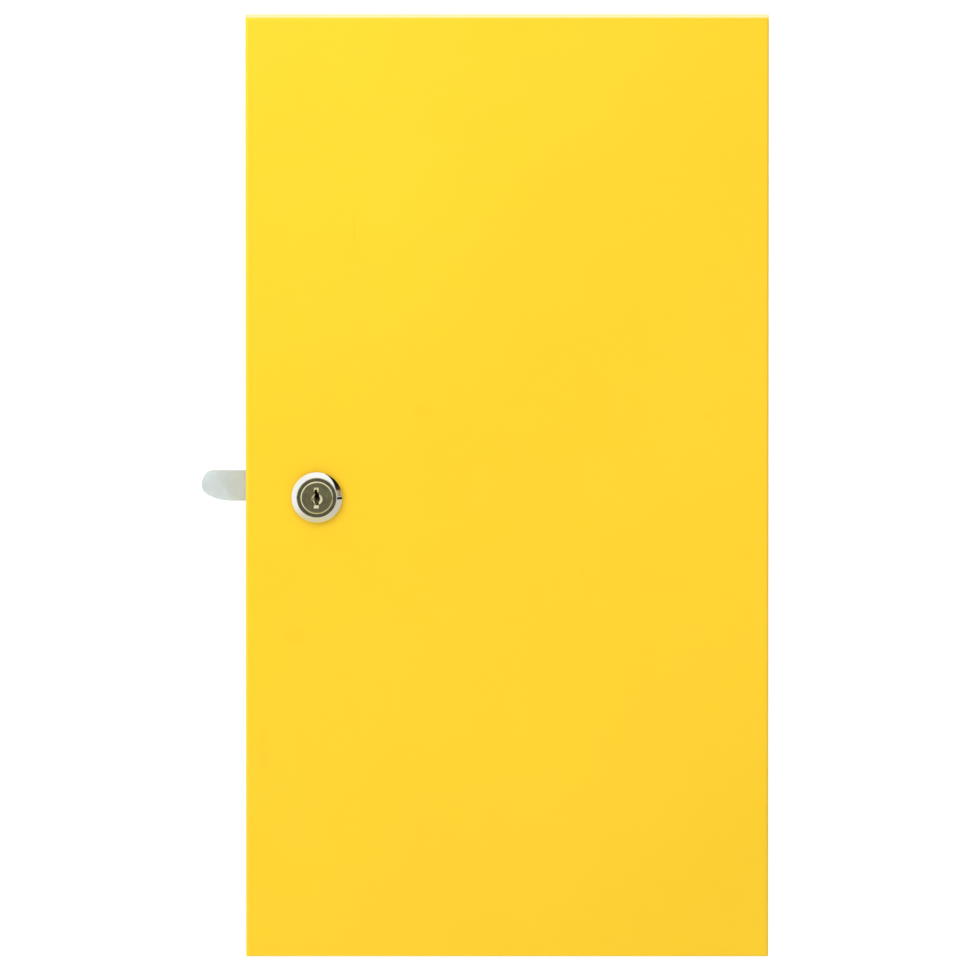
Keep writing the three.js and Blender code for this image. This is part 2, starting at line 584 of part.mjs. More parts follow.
/** Pan-head screw with a cross recess, entering the plug from behind. */
function camScrew() {
  const headSteps = 4;
  const shoulder = SCREW_HEAD_FRONT + SCREW_DOME;
  const dome = [];
  for (let i = 0; i <= headSteps; i += 1) {
    const angle = (i / headSteps) * (Math.PI / 2);
    const y = shoulder + (SCREW_HEAD_BACK - shoulder) * Math.sin(angle);
    dome.push([SCREW_HEAD_RADIUS * Math.cos(angle), y]);
  }
  dome[headSteps][0] = 0;
  const screw = turn([
    [0, SCREW_TIP],
    [SCREW_RADIUS - SCREW_TIP_CHAMFER, SCREW_TIP],
    [SCREW_RADIUS, SCREW_TIP + SCREW_TIP_CHAMFER],
    [SCREW_RADIUS, SCREW_HEAD_FRONT],
    [SCREW_HEAD_RADIUS, SCREW_HEAD_FRONT],
    ...dome,
  ], 24);
  const recess = [SCREW_HEAD_BACK - CROSS_RECESS.depth, SCREW_HEAD_BACK + PAST];
  const long = [-CROSS_RECESS.half, CROSS_RECESS.half];
  const narrow = [-CROSS_RECESS.halfWidth, CROSS_RECESS.halfWidth];
  return cut(screw, box(long, recess, narrow), box(narrow, recess, long));
}

/** Thin hexagon nut, chamfered at its corners. */
function lockNut() {
  const { front, back, inner, acrossFlats, chamfer, faceRadius } = LOCK_NUT;
  const cornerRadius = faceRadius + 2 * chamfer;
  const barrel = turn([
    [0, front],
    [faceRadius, front],
    [cornerRadius, front + chamfer],
    [cornerRadius, back - chamfer],
    [faceRadius, back],
    [0, back],
  ], 36);
  const hex = pushAlongY(hexagon(acrossFlats), front, back);
  return cut(hex.intersect(barrel), disc(inner, front - PAST, back + PAST));
}

function toothWasher() {
  const { front, back, inner, root, tip, teeth } = TOOTH_WASHER;
  const corners = [[0.05, root], [0.3, tip], [0.55, tip], [0.95, root]]; // share of one tooth's turn, radius
  const points = [];
  for (let i = 0; i < teeth; i += 1) {
    for (const [share, radius] of corners) {
      const angle = ((i + share) / teeth) * 2 * Math.PI;
      points.push([radius * Math.cos(angle), radius * Math.sin(angle)]);
    }
  }
  return cut(pushAlongY(polygon(points), front, back), disc(inner, front - PAST, back + PAST));
}

// ---- Assembly ----

function part(name, solid, finish, position = [0, 0, 0]) {
  const mesh = new THREE.Mesh(toGeometry(solid), finish);
  mesh.name = name;
  mesh.position.set(...position);
  return mesh;
}

function hinge(side, height) {
  const group = new THREE.Group();
  group.position.set(AXIS_X, AXIS_Y, height);
  group.add(part(`hinge_door_leaf_${side}`, doorLeaf(), ZINC_PLATE));
  group.add(part(`hinge_case_leaf_${side}`, caseLeaf(), ZINC_PLATE));
  group.add(part(`hinge_pin_${side}`, hingePin(), ZINC_PLATE));
  const ends = { bottom: -STUD_SPACING / 2, top: STUD_SPACING / 2 };
  const nutSeat = KNUCKLE_RADIUS - LEAF_SHEET - CLEARANCE;
  for (const [end, z] of Object.entries(ends)) {
    const y = STUD_Y - AXIS_Y;
    group.add(part(`hinge_stud_${side}_${end}`, hingeStud(), ZINC_PLATE, [KNUCKLE_RADIUS, y, z]));
    group.add(part(`hinge_nut_${side}_${end}`, hingeNut(), ZINC_PLATE, [nutSeat, y, z]));
  }
  return group;
}

function lock() {
  const group = new THREE.Group();
  group.position.set(LOCK_X, 0, LOCK_Z);
  group.add(part('lock_bezel', lockBezel(), CHROME));
  group.add(part('lock_housing', lockHousing(), NICKEL));
  group.add(part('lock_tooth_washer', toothWasher(), ZINC_PLATE));
  group.add(part('lock_nut', lockNut(), ZINC_PLATE));
  group.add(part('key_plug', keyPlug(), NICKEL));
  for (let i = 0; i < WAFER_COUNT; i += 1) {
    group.add(part(`wafer_${i + 1}`, wafer(i), BRASS));
    group.add(part(`wafer_spring_${i + 1}`, waferSpring(), SPRING_STEEL, [SPRING_X, waferY(i), 0]));
  }
  group.add(part('stop_washer', stopWasher(), ZINC_PLATE));
  group.add(part('lock_cam', lockCam(), ZINC_PLATE));
  group.add(part('cam_spring_washer', springWasher(), SPRING_STEEL));
  group.add(part('cam_screw', camScrew(), ZINC_PLATE));
  return group;
}

const door = new THREE.Group();
door.add(part('door_panel', doorPanel(), YELLOW_PAINT));
for (const [side, height] of Object.entries(HINGE_HEIGHTS)) door.add(hinge(side, height));
door.add(lock());

const assembly = new THREE.Group();
door.position.set(-SEAT_X, -CASE_HOLE_Y, -HINGE_HEIGHTS.lower);
assembly.add(door);

export default assembly;
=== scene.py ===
"""Looks of a letterbox door with a cam lock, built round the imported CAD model.

Row frame, metres: X to the right, Y back from the door's front, Z up. The lock's own pieces are drawn in
millimetres about the lock's axis, and the hinges' pieces about the hinge pin, with y always pointing back.
"""

import json
import math

import bmesh
import bpy
from mathutils import Matrix, Vector

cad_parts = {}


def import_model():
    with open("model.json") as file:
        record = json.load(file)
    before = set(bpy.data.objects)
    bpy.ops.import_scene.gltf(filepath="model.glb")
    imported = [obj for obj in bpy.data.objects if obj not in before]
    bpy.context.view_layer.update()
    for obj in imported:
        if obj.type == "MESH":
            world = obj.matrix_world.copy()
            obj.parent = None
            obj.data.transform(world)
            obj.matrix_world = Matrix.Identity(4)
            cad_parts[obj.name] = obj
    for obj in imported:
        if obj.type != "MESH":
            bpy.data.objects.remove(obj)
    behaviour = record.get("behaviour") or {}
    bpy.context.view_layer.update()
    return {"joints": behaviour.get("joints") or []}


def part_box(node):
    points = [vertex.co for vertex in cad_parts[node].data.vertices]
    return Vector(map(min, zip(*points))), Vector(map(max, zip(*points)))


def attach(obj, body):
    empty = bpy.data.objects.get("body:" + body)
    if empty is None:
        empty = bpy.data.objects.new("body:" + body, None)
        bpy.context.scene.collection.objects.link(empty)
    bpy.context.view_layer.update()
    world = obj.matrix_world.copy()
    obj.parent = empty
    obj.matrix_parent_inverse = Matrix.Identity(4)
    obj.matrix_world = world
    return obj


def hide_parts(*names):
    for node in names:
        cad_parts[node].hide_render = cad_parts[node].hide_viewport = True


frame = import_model()

MM = 0.001
GAP = 0.3  # running gap between the pieces of the lock and the hinges, mm

# Places, all from the frame
PANEL_LOW, PANEL_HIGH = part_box("door_panel")
BEZEL_LOW, BEZEL_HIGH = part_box("lock_bezel")
CAM_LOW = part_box("lock_cam")[0]
LOCK = Vector(((BEZEL_LOW.x + BEZEL_HIGH.x) / 2, PANEL_LOW.y, (BEZEL_LOW.z + BEZEL_HIGH.z) / 2))
JOINT_AT = {joint["name"]: Vector(joint["pos_m"]) for joint in frame["joints"]}
HINGE_AXIS = JOINT_AT["door_swing"]
HINGE_SIDES = ("lower", "upper")
PLUG_TURN = "lock_cylinder"

# Door pan, mm
PANEL_WIDTH = (PANEL_HIGH.x - PANEL_LOW.x) / MM
PANEL_DEPTH = (PANEL_HIGH.y - PANEL_LOW.y) / MM
PANEL_HEIGHT = (PANEL_HIGH.z - PANEL_LOW.z) / MM
SHEET = 1.2
FOLD = 1.6  # outside radius of each fold

# Lock, mm
BEZEL_RADIUS = (BEZEL_HIGH.x - BEZEL_LOW.x) / 2 / MM
BEZEL_CREST = (BEZEL_LOW.y - PANEL_LOW.y) / MM
BEZEL_CROWN = 12  # degrees that its slope curves by
BARREL_RADIUS = 9.3
BARREL_FLAT = 8.0
BARREL_BACK = 15.4
PLUG_RADIUS = 7.0
PLUG_FRONT = -4.2
HEAD_FRONT = -4.1
STUB_HALF = 3.5
WAFER_COUNT = 5
WAFER_FIRST = 2.0
WAFER_PITCH = 2.2
WAFER_SILLS = (-1.5, -2.1, -1.2, -1.8, -2.4)  # lower edge of each window, set by the key's cuts

# Hinges, mm
KNUCKLE = 3.0
LEAF = 1.2
PIN = 1.5
LEAF_HALF = 25.0
DOOR_KNUCKLE_HALF = 9.0
STUD_Y = -10.8  # from the hinge pin
STUD_Z = 15.0
CASE_HOLE_Y = 15.0
CASE_HOLE_Z = 16.0
DOOR_LEAF_WIDTH = 16.8  # from the pin
CASE_LEAF_WIDTH = 26.0
STUD_EDGE = {"bevel": 0, "crisp": 40}
NUT_EDGE = {"bevel": 0.08, "steps": 2}
LEAF_EDGE = {"bevel": 0.12, "steps": 2, "limit": 40}


# ---------------------------------------------------------------- outlines

def arc(x, y, radius, start, end, steps, radius_y=None):
    """Points on an arc, both ends included; angles in degrees."""
    tall = radius if radius_y is None else radius_y
    angles = [math.radians(start + (end - start) * k / steps) for k in range(steps + 1)]
    return [(x + radius * math.cos(a), y + tall * math.sin(a)) for a in angles]


def rounded(corners, steps):
    """Corners as (x, y) or (x, y, fillet radius), with each fillet drawn as an arc."""
    points = []
    for i, corner in enumerate(corners):
        here = Vector(corner[:2])
        radius = corner[2] if len(corner) > 2 else 0
        before = Vector(corners[i - 1][:2]) - here
        after = Vector(corners[(i + 1) % len(corners)][:2]) - here
        half = before.angle(after) / 2
        if radius == 0 or half > math.radians(89.5):
            points.append(tuple(here))
            continue
        reach = min(radius / math.tan(half), 0.49 * before.length, 0.49 * after.length)
        radius = reach * math.tan(half)
        middle = here + (before.normalized() + after.normalized()).normalized() * (radius / math.sin(half))
        start = here + before.normalized() * reach - middle
        end = here + after.normalized() * reach - middle
        sweep = start.angle_signed(end)
        for k in range(steps + 1):
            turned = Matrix.Rotation(-sweep * k / steps, 2) @ start
            points.append(tuple(middle + turned))
    return points


def circle(radius, steps):
    return arc(0, 0, radius, 0, 360 - 360 / steps, steps - 1)


def rectangle(x0, y0, x1, y1, fillet=0.0):
    return rounded([(x0, y0, fillet), (x1, y0, fillet), (x1, y1, fillet), (x0, y1, fillet)], 3)


def hexagon(across_flats):
    return circle(across_flats / math.sqrt(3), 6)


# ---------------------------------------------------------------- solids, as bmesh in mm

ALONG_Y = Matrix(((1, 0, 0), (0, 0, 1), (0, 1, 0))).to_4x4()  # outline (x, z), pushed along y
ALONG_Z = Matrix.Identity(4)  # outline (x, y), pushed along z


def plate(outline, low, high, holes=(), along=ALONG_Y):
    """Flat outline with holes, pushed from low to high along one axis."""
    bm = bmesh.new()
    edges = []
    for loop in (outline, *holes):
        ring = [bm.verts.new((x, y, low)) for x, y in loop]
        edges += [bm.edges.new((a, b)) for a, b in zip(ring, ring[1:] + ring[:1])]
    filled = bmesh.ops.triangle_fill(bm, edges=edges, use_beauty=True)
    faces = [g for g in filled["geom"] if isinstance(g, bmesh.types.BMFace)]
    pushed = bmesh.ops.extrude_face_region(bm, geom=faces)
    top = [g for g in pushed["geom"] if isinstance(g, bmesh.types.BMVert)]
    bmesh.ops.translate(bm, verts=top, vec=(0, 0, high - low))
    bm.transform(along)
    bm.normal_update()
    bmesh.ops.recalc_face_normals(bm, faces=bm.faces)
    return bm


def block(x, y, z):
    return plate(rectangle(x[0], z[0], x[1], z[1]), y[0], y[1])


def revolved(profile, segments, closed=False, shape=None):
    """Profile of (radius, y) turned about Y: from axis to axis, or closed on itself as a ring."""
    bm = bmesh.new()
    rings = []
    for radius, y in profile:
        if radius < 1e-6:
            rings.append([bm.verts.new((0, y, 0))] * segments)
            continue
        ring = []
        for k in range(segments):
            angle = 2 * math.pi * k / segments
            spot = (radius, y, angle) if shape is None else shape(radius, y, angle)
            ring.append(spot)
        made = [bm.verts.new((r * math.cos(a), d, r * math.sin(a))) for r, d, a in ring]
        rings.append(made)
    pairs = list(zip(rings, rings[1:] + rings[:1])) if closed else list(zip(rings, rings[1:]))
    for lower, upper in pairs:
        for k in range(segments):
            n = (k + 1) % segments
            corners = list(dict.fromkeys((lower[k], lower[n], upper[n], upper[k])))
            bm.faces.new(corners)
    bmesh.ops.recalc_face_normals(bm, faces=bm.faces)
    return bm


def tube(points, radius, sides):
    """Round wire along a list of points, with closed ends."""
    bm = bmesh.new()
    rings = []
    for i, here in enumerate(points):
        ahead = points[min(i + 1, len(points) - 1)] - points[max(i - 1, 0)]
        turn = ahead.to_track_quat("Z", "Y").to_matrix()
        ring = [here + turn @ Vector((radius * c, radius * s, 0)) for c, s in circle(1.0, sides)]
        rings.append([bm.verts.new(p) for p in ring])
    for a, b in zip(rings, rings[1:]):
        start = min(range(sides), key=lambda n: (b[n].co - a[0].co).length)
        for k in range(sides):
            n = (k + 1) % sides
            bm.faces.new((a[k], a[n], b[(n + start) % sides], b[(k + start) % sides]))
    bm.faces.new(rings[0][::-1])
    bm.faces.new(rings[-1])
    bmesh.ops.recalc_face_normals(bm, faces=bm.faces)
    return bm


def moved(bm, *steps):
    for step in steps:
        bm.transform(step)
    return bm


def temporary(bm, name="cutter"):
    mesh = bpy.data.meshes.new(name)
    bm.to_mesh(mesh)
    bm.free()
    thing = bpy.data.objects.new(name, mesh)
    bpy.context.scene.collection.objects.link(thing)
    return thing


def combined(bm, operation, others):
    """Exact boolean of a solid with others: UNION, DIFFERENCE or INTERSECT."""
    body = temporary(bm, "body")
    helpers = [temporary(other) for other in others]
    for helper in helpers:
        step = body.modifiers.new("boolean", "BOOLEAN")
        step.operation, step.object, step.solver = operation, helper, "EXACT"
    bpy.context.view_layer.update()
    mesh = bpy.data.meshes.new_from_object(body.evaluated_get(bpy.context.evaluated_depsgraph_get()))
    result = bmesh.new()
    result.from_mesh(mesh)
    bpy.data.meshes.remove(mesh)
    for used in (body, *helpers):
        data = used.data
        bpy.data.objects.remove(used)
        bpy.data.meshes.remove(data)
    bmesh.ops.remove_doubles(result, verts=result.verts, dist=1e-4)
    return result


def cut(bm, *others):
    return combined(bm, "DIFFERENCE", others)


def join(bm, *others):
    return combined(bm, "UNION", others)


def thread(crest, pitch, depth, start, end):
    """Rows along y, six a turn, and the shape function of a screw thread between two depths."""
    count = int(abs(end - start) / pitch * 6)
    rows = [(crest, start + (end - start) * k / count) for k in range(count + 1)]

    def shape(radius, y, angle):
        low, high = min(start, end), max(start, end)
        if abs(radius - crest) > 1e-6 or not low <= y <= high:
            return radius, y, angle
        phase = (y / pitch - angle / (2 * math.pi)) % 1
        groove = min(1.0, 1.35 * abs(2 * phase - 1))
        fade = min(1.0, (y - low) / pitch, (high - y) / pitch)
        return radius - depth * (1 - groove) * max(0.0, fade), y, angle

    return rows, shape


def finished(name, bm, finish, body, slot, replaces, at=(0, 0, 0), bevel=0.15, steps=3, crisp=32, limit=34):
    """Scales a solid to metres and makes it a piece: bevelled edges, crisp and smooth shading, body, finish;
    the slot argument is not used.
    """
    bm.transform(Matrix.Scale(MM, 4))
    mesh = bpy.data.meshes.new(name)
    bm.to_mesh(mesh)
    bm.free()
    piece = bpy.data.objects.new(name, mesh)
    bpy.context.scene.collection.objects.link(piece)
    if bevel:
        edge = piece.modifiers.new("edges", "BEVEL")
        edge.width, edge.segments, edge.limit_method = bevel * MM, steps, "ANGLE"
        edge.angle_limit = math.radians(limit)
        edge.use_clamp_overlap = True
        bpy.context.view_layer.update()
        graph = bpy.context.evaluated_depsgraph_get()
        bevelled = bpy.data.meshes.new_from_object(piece.evaluated_get(graph))
        piece.modifiers.clear()
        piece.data = bevelled
        bpy.data.meshes.remove(mesh)
        mesh = bevelled
        mesh.name = name
    mesh.shade_smooth()
    mesh.set_sharp_from_angle(angle=math.radians(crisp))
    even = piece.modifiers.new("even_normals", "WEIGHTED_NORMAL")
    even.keep_sharp, even.weight = True, 75
    mesh.materials.clear()
    mesh.materials.append(finish)
    piece.location = at
    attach(piece, body)
    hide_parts(replaces)


# ---------------------------------------------------------------- finishes

class Nodes:
    """Short calls that add nodes to a tree."""

    def __init__(self, tree):
        self.tree = tree

    def add(self, kind, inputs=(), **settings):
        node = self.tree.nodes.new(kind)
        for key, value in settings.items():
            setattr(node, key, value)
        for key, value in dict(inputs).items():
            self.feed(node.inputs[key], value)
        return node

    def feed(self, socket, value):
        if isinstance(value, bpy.types.NodeSocket):
            self.tree.links.new(value, socket)
        else:
            socket.default_value = value

    def maths(self, operation, a, b=0.0):
        return self.add("ShaderNodeMath", {0: a, 1: b}, operation=operation).outputs[0]

    def axes(self, vector):
        return self.add("ShaderNodeSeparateXYZ", {"Vector": vector}).outputs

    def span(self, value, low, high, to_low=0.0, to_high=1.0):
        """Maps a value from low..high to to_low..to_high, held at both ends."""
        inputs = {"Value": value, "From Min": low, "From Max": high, "To Min": to_low, "To Max": to_high}
        return self.add("ShaderNodeMapRange", inputs).outputs["Result"]

    def mix(self, factor, a, b):
        node = self.add("ShaderNodeMix", data_type="RGBA")
        self.feed(node.inputs["Factor"], factor)
        self.feed(node.inputs[6], a)
        self.feed(node.inputs[7], b)
        return node.outputs[2]


class Finish(Nodes):
    """A procedural material: a Principled shader with nodes in front of it."""

    def __init__(self, name, **fixed):
        self.material = bpy.data.materials.new(name)
        self.material.use_nodes = True
        super().__init__(self.material.node_tree)
        self.shader = self.tree.nodes["Principled BSDF"]
        for socket, value in fixed.items():
            self.shader.inputs[socket.replace("_", " ")].default_value = value
        self.place = self.add("ShaderNodeTexCoord").outputs["Object"]

    def noise(self, scale, detail=3.0, roughness=0.5, place=None, stretch=None):
        place = self.place if place is None else place
        if stretch is not None:
            place = self.add("ShaderNodeMapping", {"Vector": place, "Scale": stretch}).outputs[0]
        inputs = {"Vector": place, "Scale": scale, "Detail": detail, "Roughness": roughness}
        return self.add("ShaderNodeTexNoise", inputs).outputs["Fac"]

    def bump(self, height, strength, distance):
        inputs = {"Height": height, "Strength": strength, "Distance": distance}
        return self.add("ShaderNodeBump", inputs).outputs["Normal"]

    def done(self, colour, roughness, normal=None):
        self.feed(self.shader.inputs["Base Color"], colour)
        self.feed(self.shader.inputs["Roughness"], roughness)
        if normal is not None:
            self.feed(self.shader.inputs["Normal"], normal)
        return self.material


# Faint handling marks on the door: x and z from its lower left corner, half width and half height, depth
MARKS = (
    (52.0, 346.0, 0.7, 14.0, 0.55),
    (84.0, 263.0, 5.0, 3.5, 0.35),
    (222.0, 261.0, 4.0, 3.0, 0.35),
    (24.0, 155.0, 5.5, 6.0, 0.28),
    (8.5, 98.0, 4.0, 14.0, 0.30),
    (221.0, 411.0, 0.9, 1.1, 0.75),
    (144.0, 395.0, 0.6, 1.3, 0.6),
    (142.0, 357.0, 0.9, 0.7, 0.6),
    (161.0, 186.0, 0.8, 0.8, 0.7),
)
MARK_STRENGTH = 0.26


def yellow_paint():
    """Smooth powder coat: fine orange peel, slightly uneven colour, a few worn and soiled spots."""
    paint = Finish("yellow_powder_coat", Specular_IOR_Level=0.42, Coat_Weight=0.12, Coat_Roughness=0.1)
    base, deep, soil = (0.79, 0.505, 0.013, 1), (0.775, 0.49, 0.011, 1), (0.50, 0.28, 0.012, 1)
    colour = paint.mix(paint.span(paint.noise(7.0, 2.0), 0.35, 0.7), base, deep)
    axes = paint.axes(paint.place)
    ragged = paint.maths("MULTIPLY", paint.noise(420.0, 4.0, 0.65), 1.6)
    marked = 0.0
    for x, z, half_width, half_height, depth in MARKS:
        from_x = paint.maths("SUBTRACT", axes["X"], PANEL_LOW.x + x * MM)
        from_z = paint.maths("SUBTRACT", axes["Z"], PANEL_LOW.z + z * MM)
        across = paint.maths("DIVIDE", from_x, half_width * MM)
        up = paint.maths("DIVIDE", from_z, half_height * MM)
        square = paint.maths("ADD", paint.maths("POWER", across, 2.0), paint.maths("POWER", up, 2.0))
        spot = paint.span(paint.maths("ADD", square, ragged), 0.7, 1.9, depth * MARK_STRENGTH, 0.0)
        marked = paint.maths("MAXIMUM", spot, marked)
    front = paint.span(axes["Y"], PANEL_LOW.y, PANEL_LOW.y + SHEET * MM, 1.0, 0.0)
    colour = paint.mix(paint.maths("MULTIPLY", marked, front), colour, soil)
    peel = paint.noise(620.0, 2.0, 0.45)
    ripple = paint.noise(95.0, 2.0)
    height = paint.maths("ADD", peel, paint.maths("MULTIPLY", ripple, 0.6))
    gloss = paint.span(paint.noise(38.0, 5.0, 0.6), 0.3, 0.75, 0.30, 0.34)
    return paint.done(colour, gloss, paint.bump(height, 0.10, 0.00006))


def polished_chrome():
    """Bright chrome plate with hair scratches round it and a trace of haze."""
    chrome = Finish("bright_chrome", Metallic=1.0)
    scratch = chrome.noise(900.0, 3.0, 0.6, stretch=(1.0, 0.2, 1.0))
    haze = chrome.noise(160.0, 4.0)
    colour = chrome.mix(haze, (0.83, 0.83, 0.84, 1), (0.92, 0.92, 0.91, 1))
    hazy = chrome.span(haze, 0.3, 0.75, 0.025, 0.07)
    scratched = chrome.span(scratch, 0.6, 0.8, 0.0, 0.05)
    gloss = chrome.maths("ADD", hazy, scratched)
    return chrome.done(colour, gloss, chrome.bump(scratch, 0.05, 0.00003))


def turned_nickel():
    """Dull nickel turned on a lathe: rings about the lock's axis, darker on the housing, with painted shade
    deep in the keyway.
    """
    nickel = Finish("turned_dark_nickel", Metallic=1.0)
    housing, keyway_reach = 7.9 * MM, 5.0 * MM
    # Depths between which the inside of the keyway is painted near black as shade
    shade_front, shade_back = -2.45 * MM, 13.0 * MM
    axes = nickel.axes(nickel.place)
    square = nickel.maths("ADD", nickel.maths("POWER", axes["X"], 2.0), nickel.maths("POWER", axes["Z"], 2.0))
    radius = nickel.maths("POWER", square, 0.5)
    on_radius = nickel.add("ShaderNodeCombineXYZ", {"X": radius}).outputs[0]
    fine = nickel.noise(5200.0, 2.0, 0.6, on_radius)
    broad = nickel.noise(1100.0, 2.0, 0.5, on_radius)
    patch = nickel.noise(260.0, 4.0, 0.6)
    rings = nickel.maths("ADD", nickel.maths("MULTIPLY", fine, 0.5), nickel.maths("MULTIPLY", broad, 0.5))
    worn = nickel.maths("ADD", rings, nickel.maths("MULTIPLY", nickel.maths("SUBTRACT", patch, 0.5), 0.5))
    colour = nickel.mix(nickel.span(worn, 0.3, 0.7), (0.61, 0.585, 0.40, 1), (0.89, 0.86, 0.62, 1))
    outer = nickel.span(radius, housing - 0.1 * MM, housing + 0.1 * MM, 0.0, 0.3)
    colour = nickel.mix(outer, colour, (0.05, 0.04, 0.0, 1))
    # Painted shade: inside the plug, near its axis and deeper than the dish, the keyway's and slots' walls go
    # near black.
    middle = nickel.span(radius, keyway_reach + 0.2 * MM, keyway_reach - 0.2 * MM)
    behind = nickel.span(axes["Y"], shade_front - 0.45 * MM, shade_front + 0.45 * MM)
    ahead = nickel.span(axes["Y"], shade_back + 0.2 * MM, shade_back - 0.2 * MM)
    painted_shade = nickel.maths("MULTIPLY", nickel.maths("MULTIPLY", middle, behind), ahead)
    colour = nickel.mix(painted_shade, colour, (0.03, 0.028, 0.02, 1))
    gloss = nickel.span(patch, 0.3, 0.75, 0.16, 0.24)
    return nickel.done(colour, gloss, nickel.bump(rings, 0.3, 0.00003))


def zinc_plate(name="bright_zinc", tone=(0.70, 0.74, 0.70), grain=(1.0, 1.0, 1.0), metallic=0.8, rim_darkness=0.0):
    """Bright zinc plating over rolled steel: cloudy, with a faint grain and small dull spots."""
    zinc = Finish(name, Metallic=metallic)
    cloud = zinc.noise(120.0, 5.0, 0.6)
    streak = zinc.noise(700.0, 3.0, 0.6, stretch=grain)
    low = tuple(c * 0.93 for c in tone) + (1,)
    high = tuple(min(1.0, c * 1.04) for c in tone) + (1,)
    yellowish = (tone[0] * 1.02, tone[1] * 0.97, tone[2] * 0.82, 1)
    colour = zinc.mix(zinc.span(cloud, 0.3, 0.7), low, high)
    tint = zinc.maths("MULTIPLY", zinc.span(zinc.noise(55.0, 3.0), 0.5, 0.75), 0.3)
    colour = zinc.mix(tint, colour, yellowish)
    spots = zinc.span(zinc.noise(1500.0, 2.0), 0.68, 0.76)
    colour = zinc.mix(zinc.maths("MULTIPLY", spots, 0.3), colour, (0.3, 0.3, 0.28, 1))
    # Rims and bevels, whose faces turn away from the front and back, are darkened towards olive by the last
    # argument.
    facing = zinc.maths("ABSOLUTE", zinc.axes(zinc.add("ShaderNodeTexCoord").outputs["Normal"])["Y"])
    edge = zinc.maths("MULTIPLY", zinc.span(facing, 0.97, 0.75), rim_darkness)
    colour = zinc.mix(edge, colour, (0.16, 0.18, 0.12, 1))
    gloss = zinc.span(cloud, 0.3, 0.75, 0.34, 0.44)
    return zinc.done(colour, gloss, zinc.bump(streak, 0.18, 0.00004))


def stamped_brass():
    brass = Finish("stamped_brass", Metallic=1.0)
    cloud = brass.noise(300.0, 4.0, 0.6)
    grain = brass.noise(2400.0, 2.0, 0.5, stretch=(1.0, 1.0, 0.15))
    # Brass colour kept well below bright brass: painted shade for wafers that sit deep inside the keyway.
    colour = brass.mix(brass.span(cloud, 0.3, 0.7), (0.30, 0.26, 0.10, 1), (0.46, 0.40, 0.18, 1))
    return brass.done(colour, brass.span(cloud, 0.3, 0.7, 0.24, 0.42), brass.bump(grain, 0.2, 0.00003))


def spring_steel():
    steel = Finish("oiled_spring_steel", Metallic=1.0)
    cloud = steel.noise(420.0, 4.0, 0.6)
    colour = steel.mix(steel.span(cloud, 0.3, 0.7), (0.20, 0.20, 0.22, 1), (0.38, 0.39, 0.42, 1))
    fine = steel.noise(3000.0, 2.0)
    return steel.done(colour, steel.span(cloud, 0.3, 0.7, 0.22, 0.38), steel.bump(fine, 0.15, 0.00002))


PAINT = yellow_paint()
CHROME = polished_chrome()
NICKEL = turned_nickel()
ZINC = zinc_plate()
CAM_ZINC = zinc_plate("rolled_zinc_plate", (0.67, 0.76, 0.82), (0.12, 1.0, 1.0), 0.5, 0.8)
BRASS = stamped_brass()
SPRING = spring_steel()


# ---------------------------------------------------------------- door pan

def folded_outline(length, inset, back, steps=10):
    """Section of the pan across its folds: u along the front, v pointing back."""
    radius = FOLD - inset
    left = arc(FOLD, FOLD, radius, 180, 270, steps)
    right = arc(length - FOLD, FOLD, radius, 270, 360, steps)
    return [(inset, back), *left, *right, (length - inset, back)]


def folded_block(inset, back):
    upright = plate(folded_outline(PANEL_WIDTH, inset, back), inset, PANEL_HEIGHT - inset, along=ALONG_Z)
    sideways = Matrix(((0, 0, 1), (0, 1, 0), (1, 0, 0))).to_4x4()
    level = plate(folded_outline(PANEL_HEIGHT, inset, back), inset, PANEL_WIDTH - inset, along=sideways)
    return combined(upright, "INTERSECT", [level])


def door_panel():
    """Folded pan with narrow corner seams that end in a round relief, and the lock's double-D hole."""
    slit, relief, mouth = 0.2, 0.35, 16  # mouth: half the angle that the relief opens by into its slit
    side = slit / 2
    low_end = (-1, SHEET + 1)
    high_end = (PANEL_HEIGHT - SHEET - 1, PANEL_HEIGHT + 1)
    cutters = [folded_block(SHEET, PANEL_DEPTH + 1)]
    for x in (SHEET + side, PANEL_WIDTH - SHEET - side):
        ring = arc(x, FOLD + relief, relief, 90 + mouth, 450 - mouth, 20)
        seam = [(x + side, PANEL_DEPTH + 1), (x - side, PANEL_DEPTH + 1), *ring]
        for z in (low_end, high_end):
            cutters.append(plate(seam, *z, along=ALONG_Z))
    half = BARREL_FLAT + GAP
    radius = BARREL_RADIUS + GAP
    start = math.degrees(math.acos(half / radius))
    hole = arc(0, 0, radius, start, 180 - start, 24) + arc(0, 0, radius, 180 + start, 360 - start, 24)
    to_lock = Matrix.Translation((LOCK - PANEL_LOW) / MM)
    cutters.append(moved(plate(hole, -1, SHEET + 1), to_lock))
    pan = moved(cut(folded_block(0, PANEL_DEPTH), *cutters), Matrix.Translation(PANEL_LOW / MM))
    edge = {"bevel": 0.22, "limit": 50, "crisp": 40}
    finished("painted_door_panel", pan, PAINT, "door", "yellow_paint", "door_panel", **edge)


# ---------------------------------------------------------------- lock

def bow(start, end, degrees, steps):
    """Points from start to end on a shallow arc that turns by this many degrees, bulging to the left."""
    a, b = Vector(start), Vector(end)
    half = math.radians(degrees) / 2
    chord = b - a
    side = Vector((-chord.y, chord.x)).normalized()
    radius = chord.length / 2 / math.sin(half)
    middle = (a + b) / 2 - side * radius * math.cos(half)
    spread = [half - 2 * half * k / steps for k in range(steps + 1)]
    return [tuple(middle + radius * (side * math.cos(t) - chord.normalized() * math.sin(t))) for t in spread]


